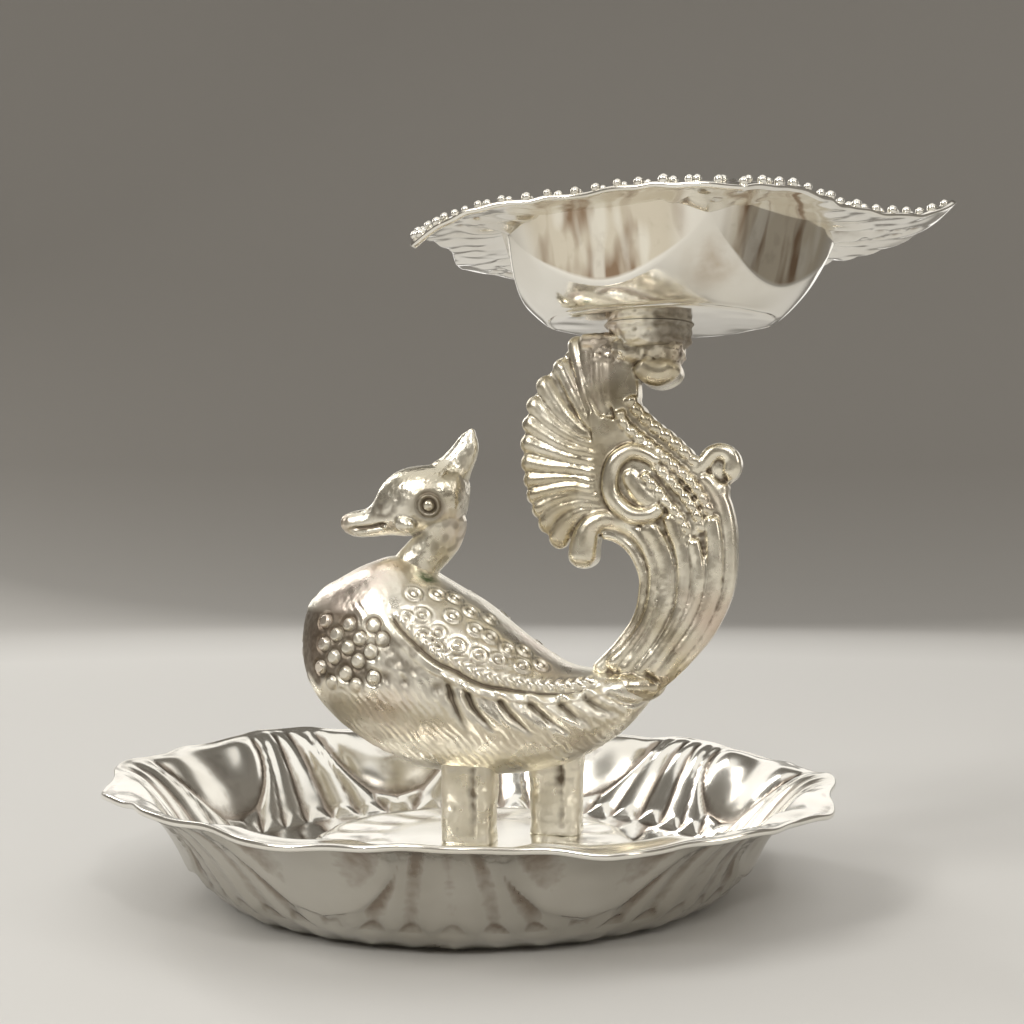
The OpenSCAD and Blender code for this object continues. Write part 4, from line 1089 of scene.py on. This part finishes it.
LOOP_PX = [
    (662.9, 463.5, 0.7), (655, 459.5, 0.95), (645.6, 454, 1.05), (631.7, 451.2, 1.1),
    (617.1, 459.4, 1.15), (610, 475.9, 1.15), (610.5, 492.5, 1.2), (619.3, 506.4, 1.25),
    (635.4, 515.9, 1.25), (651.6, 514.6, 1.1), (663.2, 504.8, 0.8)]
TONGUE_PX = [(625.1, 466.9, 1.0), (634.4, 482.2, 1.65), (647.6, 497.5, 1.75), (660.6, 507.1, 1.1)]
KNOB_PX = [
    (688.4, 470.8, 1.0), (699, 468.6, 1.0), (706.5, 462.3, 1.05), (712, 455.2, 1.1),
    (720.3, 452.3, 1.15), (729.8, 455.6, 1.2), (733.6, 464, 1.2), (731, 473, 1.15),
    (723.9, 477.8, 1.0)]
ROLLS_PX = [
    ([(637, 360.5, 1.2), (646, 368, 1.75), (657, 372.5, 2.0), (669, 369.5, 1.8), (678, 361, 1.3)],
     4.4, 0.9),
    ([(655, 354, 1.7), (668, 350, 1.9), (684, 349, 1.6)], 4.1, 0.8),
    ([(636, 346, 1.5), (650, 348, 1.9), (674, 345, 1.7)], 4.2, 0.8),
    ([(608, 344, 1.5), (622, 348, 1.6), (638, 352, 1.7), (656, 356, 1.6)], 4.0, 0.8),
    ([(578, 341.5, 0.9), (592, 341, 1.0), (608, 341, 1.1), (626, 343, 1.2)], 3.2, 0.8)]


def px_web(left, right, left_t, right_t):
    """Web between two pixel lines in the middle plane, with a half thickness along each."""
    sides = [on_plane(line, 0.0)[:, [0, 2]] for line in (left, right)]
    return ribbon(*sides, left_t, right_t)


def make_tail(material):
    """The tail: bars along the photographed lines of its ribs, flutes, ropes, loop, knob and
    rolls, on webs that fill the ground between them, fused into one skin."""
    skins = []
    for line, half in zip(RIBS_PX, RIB_HALF_MM):
        at = np.linspace(0, 1, len(line))
        widths = np.interp(at, [0, 0.35, 1], [half, half * 0.86, half * 0.5])
        thick = np.linspace(1.5, 3.1, len(line))
        skins.append(px_bar(np.column_stack([line, widths]), thick, y=-1.2, crown=0.75))
    edge = on_plane([line[0] for line in RIBS_PX], 0.0)
    root = on_plane([line[-1] for line in RIBS_PX], 0.0)
    edge = edge + (root - edge) * 0.07
    skins.append(ribbon(edge[:, [0, 2]], root[:, [0, 2]], 0.9, 2.2))
    for rows, half_t, crown in FLUTES_PX:
        skins.append(px_bar(rows, half_t, crown=crown))
    skins.append(px_web([(603, 534), (623, 541), (641, 562), (647, 580), (646, 600), (636, 629),
                         (612, 664), (596, 682)],
                        [(603, 524), (640, 532), (675, 530), (705, 535), (726, 560), (725, 590),
                         (698, 640), (655, 686)], 2.5, 3.0))
    for rows, half_t, beads in ROPES_PX:
        sink = 0.5 * ease(np.linspace(-3, 1, len(rows)))
        rows = [(x, z, 1.12 * w) for x, z, w in rows]
        skins.append(px_bar(rows, half_t - sink, beads=beads, step=0.15))
    # Ground under the ropes and behind the loop
    skins.append(px_web([(611, 345), (611, 395), (622, 430), (640, 450), (660, 475), (680, 512),
                         (690, 548)],
                        [(630, 345), (632, 397), (654, 424), (687, 453), (706, 480), (722, 505),
                         (727, 545)], 3.2, 3.0))
    skins.append(px_web([(592, 415), (596, 445), (598, 475), (600, 500), (607, 522)],
                        [(632, 425), (655, 447), (678, 478), (695, 505), (700, 535)], 2.9, 3.45))
    for rows, half_t, crown in NECK_FLUTES_PX:
        skins.append(px_bar(rows, half_t, crown=crown))
    for x, z in ((619.3, 359), (619.3, 369.8), (619.5, 380.3), (620, 391.4)):
        skins.append(px_bar([(x, z - 2.6, 0.55), (x, z + 2.6, 0.55)], 2.95, crown=0.4))
    skins.append(px_web([(583, 338), (590, 395), (606, 438)],
                        [(625, 338), (626, 395), (636, 440)], 1.9, 2.4))
    skins.append(px_bar(LOOP_PX, 4.5, y=-3.2, crown=1.0))
    skins.append(px_bar(TONGUE_PX, [3.5, 3.7, 4.0, 4.1], y=-3.2, crown=0.7))
    skins.append(px_bar(KNOB_PX, 3.2, y=0.0, crown=0.8))
    skins.append(ball(on_plane([(720.5, 468)], 0.0)[0], (2.5, 2.5, 2.7)))
    skins.append(px_bar([(722, 480, 1.3), (721, 490, 1.2), (724, 503, 0.9)], 3.0, y=0.0))
    for rows, half_t, crown in ROLLS_PX:
        skins.append(px_bar(rows, half_t, y=-2.0, crown=crown))
    # Foot that spreads over the rump
    rump = on_plane([(633, 684)], 0.0)[0]
    skins.append(ball((rump[0], 0, rump[2]), (4.6, 5.2, 2.6)))
    mesh = fused("scroll_tail_cast", skins, TAIL_VOXEL)
    points, _, normals = read_mesh(mesh)
    height = 0.006 * ripple(points, 0.9, 31) + 0.03 * ripple(points, 3.0, 32)
    x, z = points[:, 0], points[:, 2]
    stem = ease((48.0 - z) / 8) * ease((z - 26) / 4)
    height += stem * 0.008 * ripple(points, 0.7, 33)
    # Darker, in patches, on the rough top rolls, and darker towards the top of the tail.
    rough = ease((x - 16.5) / 2) * ease((z - 72.2) / 1.5)
    height += rough * 0.12 * ripple(points, 1.1, 34)
    soil_and_shade = 0.75 * rough * ease(ripple(points, 1.6, 35) * 1.5 + 0.55)
    soil_and_shade = np.maximum(soil_and_shade, 0.30 * ease((z - 62) / 6) * ease(ripple(points, 3.0, 36) + 0.4))
    put_points(mesh, points + normals * height[:, None])
    finish_piece("scroll_tail_cast", mesh, ["scroll_tail"], material, 16, {"soil_and_shade": soil_and_shade})


# Boss under the cup


def make_boss(material):
    """Lump of a boss: flat on top, narrower and knobbly below, pitted on its near side, with
    painted shade darkening its right side.
    """
    turn = np.arange(160) * TAU / 160
    rise = np.linspace(0, 1, 40)
    at = [0, 0.2, 0.45, 0.7, 0.9, 1]
    right = through(at, [0.82, 0.95, 0.93, 0.98, 0.96, 0.99], rise)[:, None]
    left = through(at, [0.52, 0.66, 0.78, 0.88, 0.94, 0.99], rise)[:, None]
    r_share = left + (right - left) * (0.5 + 0.5 * np.cos(turn + 0.5))
    lumps = (0.035 * np.sin(turn * 3 + 1.1) + 0.025 * np.sin(turn * 5)
             + 0.02 * np.sin(turn * 2 + 0.4))
    r = BOSS_D / 2 * r_share * (1 + lumps * (1 - 0.6 * rise[:, None]))
    z = BOSS_Z + SOLDER_GAP + (BOSS_H - 2 * SOLDER_GAP) * rise
    rings = round_rings(r, z[:, None], turn) + np.array([BOSS_X, 0, 0])
    way = sideways(rings, BOSS_X)
    height = 0.26 * ripple(rings, 2.2, 41) + 0.07 * ripple(rings, 0.9, 42) - 0.1
    # Painted shade: the boss's right side is darkened; further down, its pits are soiled.
    soil_and_shade = 0.85 * ease((rings[..., 0] - 24.0) / 3 + 0.3 * ripple(rings, 1.5, 43))
    soil_and_shade = soil_and_shade * ease((79.6 - z)[:, None] / 1.2)
    for px, size in (((607, 324), 0.5), ((619.5, 333), 0.4), ((634, 329), 0.3), ((655, 338), 0.7)):
        gap = np.linalg.norm(rings - on_plane([px], -5.9)[0], axis=-1)
        height -= 0.55 * hump(gap, size)
        soil_and_shade = np.maximum(soil_and_shade, hump(gap, size * 1.1))
    height *= (ease(rise * 5) * ease((1 - rise) * 5))[:, None]
    add_piece("boss_cast", [lofted(rings + way * height[..., None])], ["cup_boss"], material,
              marks={"soil_and_shade": with_poles(soil_and_shade)})


# Legs


def make_leg(name, node, centre, seed, material):
    """Blocky post: rounded-corner sections, with a shallow facet line down each face and a
    rough cast surface."""
    rise = np.linspace(0, 1, 60)[:, None]
    a = np.arange(96)[None, :] * TAU / 96
    swell = 0.93 + 0.07 * ease(rise) + 0.03 * hump(rise - 0.03, 0.05)
    width, depth = LEG_W / 2 * swell, LEG_T / 2 * swell
    c, s = np.cos(a), np.sin(a)
    square = 0.42
    x = width * np.sign(c) * np.abs(c) ** square
    y = depth * np.sign(s) * np.abs(s) ** square
    rings = np.stack(np.broadcast_arrays(centre[0] + x, centre[1] + y,
                                         ROSETTE_H + (LEG_TOP_Z - ROSETTE_H) * rise), -1)
    way = sideways(rings, *centre)
    groove = (0.22 * hump(x - LEG_W * 0.16, 0.35) * (s < 0)
              + 0.15 * hump(x + LEG_W * 0.2, 0.5) * (s > 0))
    height = 0.05 * ripple(rings, 1.2, seed) + 0.10 * ripple(rings, 3.8, seed + 1) - groove
    height = np.minimum(height, 0.12) * ease(rise * 8)
    add_piece(name, [lofted(rings + way * height[..., None])], [node], material)


# The cup

TIP_LIFTS = [-0.148, 0.286, 0.08, 0.11, -0.313]
TIP_STRETCH = [0.0, 0.9, 0.0, 0.0, -0.7]
PETAL_HALF = math.pi / PETALS
CORNER_TURN = PETAL_HALF * 0.367
EDGE_H = 11.0
PINCH_R = 22.7
GUTTER_H = 0.12
# Punched dots of one spout: distance from the cup's axis and turn from the spout's
SPOUT_DOTS = ((27.0, 0.0), (29.2, -0.08), (29.2, 0.08), (31.4, -0.045), (31.4, 0.045), (33.4, 0.0))


def cup_lines(turn):
    """Radius and height of the cup's named lines at each turn: the window's foot and top, and
    the brim's edge with its tip's drop. A window is lowest in the gutter on each spout's axis."""
    pitch = 2 * PETAL_HALF
    petal = np.round(turn / pitch).astype(int) % PETALS
    d = np.abs((turn + PETAL_HALF) % pitch - PETAL_HALF)
    share = d / PETAL_HALF
    foot = CUP_PINCH_H + (WINDOW_LOW_H - CUP_PINCH_H) * np.sin(math.pi / 2 * share**0.75)
    low = CUP_PINCH_H + GUTTER_H
    top = low + (CUP_H - 0.95 - low) * np.clip(d / CORNER_TURN, 0, 1)
    corner_r = PINCH_R * 0.97
    up_r = np.where(d < CORNER_TURN, PINCH_R + (corner_r - PINCH_R) * d / CORNER_TURN,
                    corner_r * np.cos(PETAL_HALF - CORNER_TURN) / np.cos(PETAL_HALF - d))
    edge_r = ((CUP_VALLEY_D + (CUP_TIP_D - CUP_VALLEY_D) * (1 - share) ** 1.5) / 2
              + np.array(TIP_STRETCH)[petal] * (1 - share) ** 2)
    drop = np.array(TIP_LIFTS)[petal] * CUP_H * (1 - share) ** 3.5
    return foot, top, up_r, edge_r, drop, share


def bowl_r(z):
    """Radius of the bowl at a height: a smooth curve from the bottom to the pinch."""
    low = CUP_BOTTOM_D / 2
    radii = low + (PINCH_R - low) * np.array([0, 0.15, 0.5, 0.8, 1])
    return through([0, 0.09, 0.36, 0.7, 1], radii, z / CUP_PINCH_H)


def cup_face(turn):
    """The cup's inner face as rings: flat bottom, bowl, window, brim. Gives the rings and how
    far each point is in a window."""
    foot, top, up_r, edge_r, drop, share = cup_lines(turn)
    foot_r = np.minimum(bowl_r(foot), up_r)
    rings, panes = [], []
    ones = np.ones_like(turn)
    for r in np.linspace(0.03, 0.90, 14):
        rings.append((CUP_BOTTOM_D / 2 * r * ones, 0 * ones))
    for a in np.radians([20, 40, 60, 78]):
        rings.append((CUP_BOTTOM_D / 2 * (0.93 + 0.07 * math.sin(a)) * ones,
                      0.35 * (1 - math.cos(a)) * ones))
    for k in np.linspace(0.06, 0.97, 16):
        rings.append((bowl_r(foot * k), foot * k))
    rings.append((foot_r, foot))
    panes += [0 * ones] * len(rings)
    for k in (0.03, 0.08, 0.16, 0.28, 0.42, 0.58, 0.74, 0.86, 0.94, 0.98, 1.0):
        belly = 0.08 * math.sin(math.pi * k) * ease(share * 2.5)
        rings.append((foot_r + (up_r - foot_r) * k - belly, foot + (top - foot) * k))
        panes.append(ease(share * 4 - 0.4) * (0.03 < k < 0.98))
    signed = ((turn + PETAL_HALF) % (2 * PETAL_HALF) - PETAL_HALF) / PETAL_HALF
    for v in (0.03, 0.07, 0.12, *np.linspace(0.17, 1, 34)):
        r = up_r + (edge_r - up_r) * v
        z = top + (EDGE_H - top) * (1 - (1 - v) ** 3.2) + drop * v**5
        near_pinch = hump(v - 0.16, 0.26)
        pleat = (0.36 * hump(share - 0.17, 0.08) - 0.26 * hump(share - 0.31, 0.07)
                 + 0.16 * hump(share - 0.43, 0.06))
        creases = 0.10 * np.sin(signed * 31 + 1.3) * ease(share * 5) * hump(share - 0.25, 0.3)
        z = z + (pleat + creases) * near_pinch * ease(v * 9)
        bell = (1 - share) ** 2
        z = (z + 0.22 * bell * np.sin(math.pi * v)
             + 0.10 * np.sin(TAU * 2 * v + 1.0 + 2 * signed) * bell)
        z = z + 0.06 * v * v * (np.sin(turn * 41) + np.sin(turn * 27 + 1.0))
        rings.append((r, z))
        panes.append(0 * ones)
    a = turn + PETAL_TURN
    points = [np.stack([r * np.sin(a), -r * np.cos(a), z], -1) for r, z in rings]
    return np.stack(points), np.stack(panes)


def make_cup(material, bead_material):
    """The cup's sheet, its inner face moved along the normals for its outer one, with a round
    brim between them; and small balls along two rings of the brim, spaced almost evenly."""
    turn = np.arange(CUP_COLUMNS) * TAU / CUP_COLUMNS
    inner, panes = cup_face(turn)
    normal = normals_of(inner, True)
    if normal[2, :, 2].mean() > 0:
        normal = -normal
    # Soft hand-beaten dents, and punched dots that show on both faces of each spout
    radius = np.hypot(inner[..., 0], inner[..., 1])
    rise = 0.09 * ripple(inner, 9.0, 51) * ease((radius - 8) / 6)
    rise += 0.08 * ripple(inner, 3.2, 53) * ease((radius - 23) / 3) * ease((38 - radius) / 5)
    flat_gap = np.full(radius.shape, np.inf)
    for petal in range(PETALS):
        for run, off in SPOUT_DOTS:
            a = petal * TAU / PETALS + off + PETAL_TURN
            flat_gap = np.minimum(flat_gap, np.hypot(inner[..., 0] - run * math.sin(a),
                                                     inner[..., 1] + run * math.cos(a)))
    rise += 0.34 * hump(flat_gap, 0.6)
    inner = inner + np.array([0, 0, 1]) * rise[..., None]
    outer = inner + normal * CUP_WALL
    outer[..., 2] = np.maximum(outer[..., 2], -CUP_WALL)
    inner[..., 2] += CUP_WALL
    outer[..., 2] += CUP_WALL
    rim = (inner[-1] + outer[-1]) / 2
    out = sideways(rim)
    edge = [rim + out * 0.28 * math.cos(a) + (inner[-1] - rim) * math.sin(a)
            for a in np.radians([-55, 0, 55])]
    rings = np.concatenate([outer, np.stack(edge), inner[::-1]])
    # Painted reflection: the windows are marked for upright streaks that stand in for reflections.
    painted_reflection = np.concatenate([panes, np.zeros((3, CUP_COLUMNS)), 0 * panes])
    place = np.array([CUP_X, 0, CUP_Z])
    add_piece("cup_sheet", [lofted(rings + place)], ["lamp_cup"], material, 14,
              {"painted_reflection": with_poles(painted_reflection)})
    # Two rows of beads along the brim: one on its edge, one a little inside, set between
    draw = np.random.default_rng(52)
    beads = []
    for row, first, size in ((-2, 0.0, 0.60), (-7, 0.5, 0.52)):
        line = np.concatenate([inner[row], inner[row][:1]])
        total = run_length(line)[-1]
        count = int(round(total / BEAD_PITCH))
        places = np.arange(count) + first + draw.uniform(-0.10, 0.10, count)
        stops = places % count * total / count
        spots = np.stack([np.interp(stops, run_length(line), line[:, k]) for k in range(3)], 1)
        for spot in spots:
            r = size * draw.uniform(0.85, 1.15)
            beads.append(ball(spot + place + np.array([0, 0, 0.3]), (r, r, r), 7, 9))
    add_piece("cup_beads", beads, [], bead_material, 2)


# Build everything

green = (0.10, 0.16, 0.08)
joint = onto_body([(427, 578)], body_grid(120, 90))[0] + np.array([0, 0, 0.6])
bird_silver = cast_silver("bird_silver", roughness=0.30, grain=0.11, soft=(0.82, 0.77, 0.66),
                          tints=[(joint, 2.2, green, 1.0),
                                  ((-15.0, -7.0, 42.5), 6.5, (0.86, 0.73, 0.65), 0.7)])
head_silver = cast_silver("head_silver", roughness=0.28, tarnish=0.18, grain=0.08,
                          tints=[(joint, 2.4, green, 1.0)])
tail_silver = cast_silver("tail_silver", roughness=0.25, tarnish=0.12, pitted=0.05,
                          bright=(0.90, 0.85, 0.72), soft=WARM_SILVER)
leg_silver = cast_silver("leg_silver", roughness=0.31, grain=0.10)
boss_silver = cast_silver("boss_silver", roughness=0.32, pitted=0.5)
plate_silver = sheet_silver("plate_silver", roughness=0.17, tarnish=0.15, wave=0.16)
# The two brown spots on the cup's near side are painted reflections.
cup_silver = sheet_silver("cup_silver", roughness=0.11, wave=0.03, tints=[
    (on_plane([(713, 266)], -19.0)[0], 4.5, (0.50, 0.38, 0.26), 0.8),
    (on_plane([(747, 294)], -17.0)[0], 3.4, (0.42, 0.27, 0.13), 1.0)])
bead_silver = sheet_silver("bead_silver", roughness=0.22, wave=0.02)
fastener_steel = steel("fastener_steel")

make_plate(plate_silver)
make_body(bird_silver)
make_head(head_silver)
make_tail(tail_silver)
make_boss(boss_silver)
make_leg("leg_near", "left_leg", LEG_CENTRES[0], 61, leg_silver)
make_leg("leg_far", "right_leg", LEG_CENTRES[1], 71, leg_silver)
make_cup(cup_silver, bead_silver)
for node in ("cup_screw", "cup_washer", "leg_screws", "leg_washers"):
    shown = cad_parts[node]
    shown.data.materials.clear()
    shown.data.materials.append(fastener_steel)


# Stage, lights and camera, in metres

UNDER = 0.00005
STAGE_R = 0.62
STAGE_BEND = 0.24
STAGE_WALL = 0.62
STAGE_COLUMNS = 96


def stage_material(name, colour):
    """Matt colour that fades to grey away from the object."""
    n = Nodes(name)
    shade = n.blend(n.near((0, 0, 0), 820, 0.5), (0.27, 0.255, 0.235), colour)
    return n.done(shade, 0.85, metallic=0.0)


def make_stage():
    """A round floor that bends up into a low wall all round the object, as one sheet."""
    a = np.linspace(0, math.pi / 2, 16)
    profile = [(r, 0.0) for r in np.linspace(0.02, STAGE_R, 12)]
    profile += [(STAGE_R + STAGE_BEND * math.sin(t), STAGE_BEND * (1 - math.cos(t))) for t in a[1:]]
    profile.append((STAGE_R + STAGE_BEND, STAGE_WALL))
    c = np.arange(STAGE_COLUMNS)
    turn = c * TAU / STAGE_COLUMNS
    grid = np.stack([round_rings(r, z - UNDER, turn) for r, z in profile])
    points = np.concatenate([grid.reshape(-1, 3), [[0, 0, -UNDER]]])
    middle = np.stack([0 * c + len(points) - 1, c, (c + 1) % STAGE_COLUMNS], 1)
    quads = grid_faces(len(profile), STAGE_COLUMNS)[:, ::-1]
    floor = in_scene("floor_sheet", mesh_of("floor_sheet", points, quads, middle))
    floor.data.materials.append(stage_material("pale_floor", (0.66, 0.65, 0.63)))


def soft_light(name, place, aim, size, power, colour=(1.0, 0.985, 0.95)):
    """Rectangular lamp that the camera doesn't see."""
    lamp = bpy.data.lights.new(name, "AREA")
    lamp.shape = "RECTANGLE"
    lamp.size, lamp.size_y = size
    lamp.energy = power
    lamp.color = colour
    lamp_object = in_scene(name, lamp)
    lamp_object.location = place
    lamp_object.visible_camera = False
    way = Vector(aim) - Vector(place)
    lamp_object.rotation_euler = way.to_track_quat("-Z", "Y").to_euler()


make_stage()
middle = (0.008, 0.0, 0.045)
soft_light("key_box", (-0.42, -0.50, 0.62), middle, (0.34, 0.34), 2.6)
soft_light("top_box", (0.10, 0.05, 0.80), (0.10, 0.05, 0.0), (1.45, 0.85), 3.3)
soft_light("fill_box", (0.75, -0.30, 0.30), middle, (0.16, 0.50), 0.8, (1.0, 0.95, 0.88))
soft_light("edge_box", (-0.55, 0.45, 0.45), middle, (0.12, 0.40), 1.0)
soft_light("front_box", (0.26, -0.60, 0.60), middle, (0.50, 0.34), 1.3)
soft_light("back_box", (-0.05, 0.58, 0.20), middle, (1.0, 0.24), 0.72)
soft_light("spark_left", (-0.30, -0.55, 0.35), middle, (0.05, 0.05), 0.5)
soft_light("spark_right", (0.32, -0.60, 0.50), middle, (0.05, 0.05), 0.6)

world = bpy.data.worlds.new("room")
bpy.context.scene.world = world
world.use_nodes = True
background = world.node_tree.nodes["Background"]
background.inputs["Color"].default_value = (0.16, 0.148, 0.13, 1)
background.inputs["Strength"].default_value = 1.0

camera_data = bpy.data.cameras.new("photo_camera")
camera_data.sensor_width = SENSOR_MM
camera_data.lens = SENSOR_MM * FOCAL_PX / FRAME_PX
camera_data.shift_y = (HORIZON_ROW - FRAME_PX / 2) / FRAME_PX
camera_data.clip_start = 0.01
camera = in_scene("photo_camera", camera_data)
camera.matrix_world = Matrix.Translation(EYE * MM) @ Matrix(
    [list(row) for row in np.stack([RIGHT, UP, -AHEAD], 1)]).to_4x4()
bpy.context.scene.camera = camera
bpy.context.scene.view_settings.view_transform = "Standard"
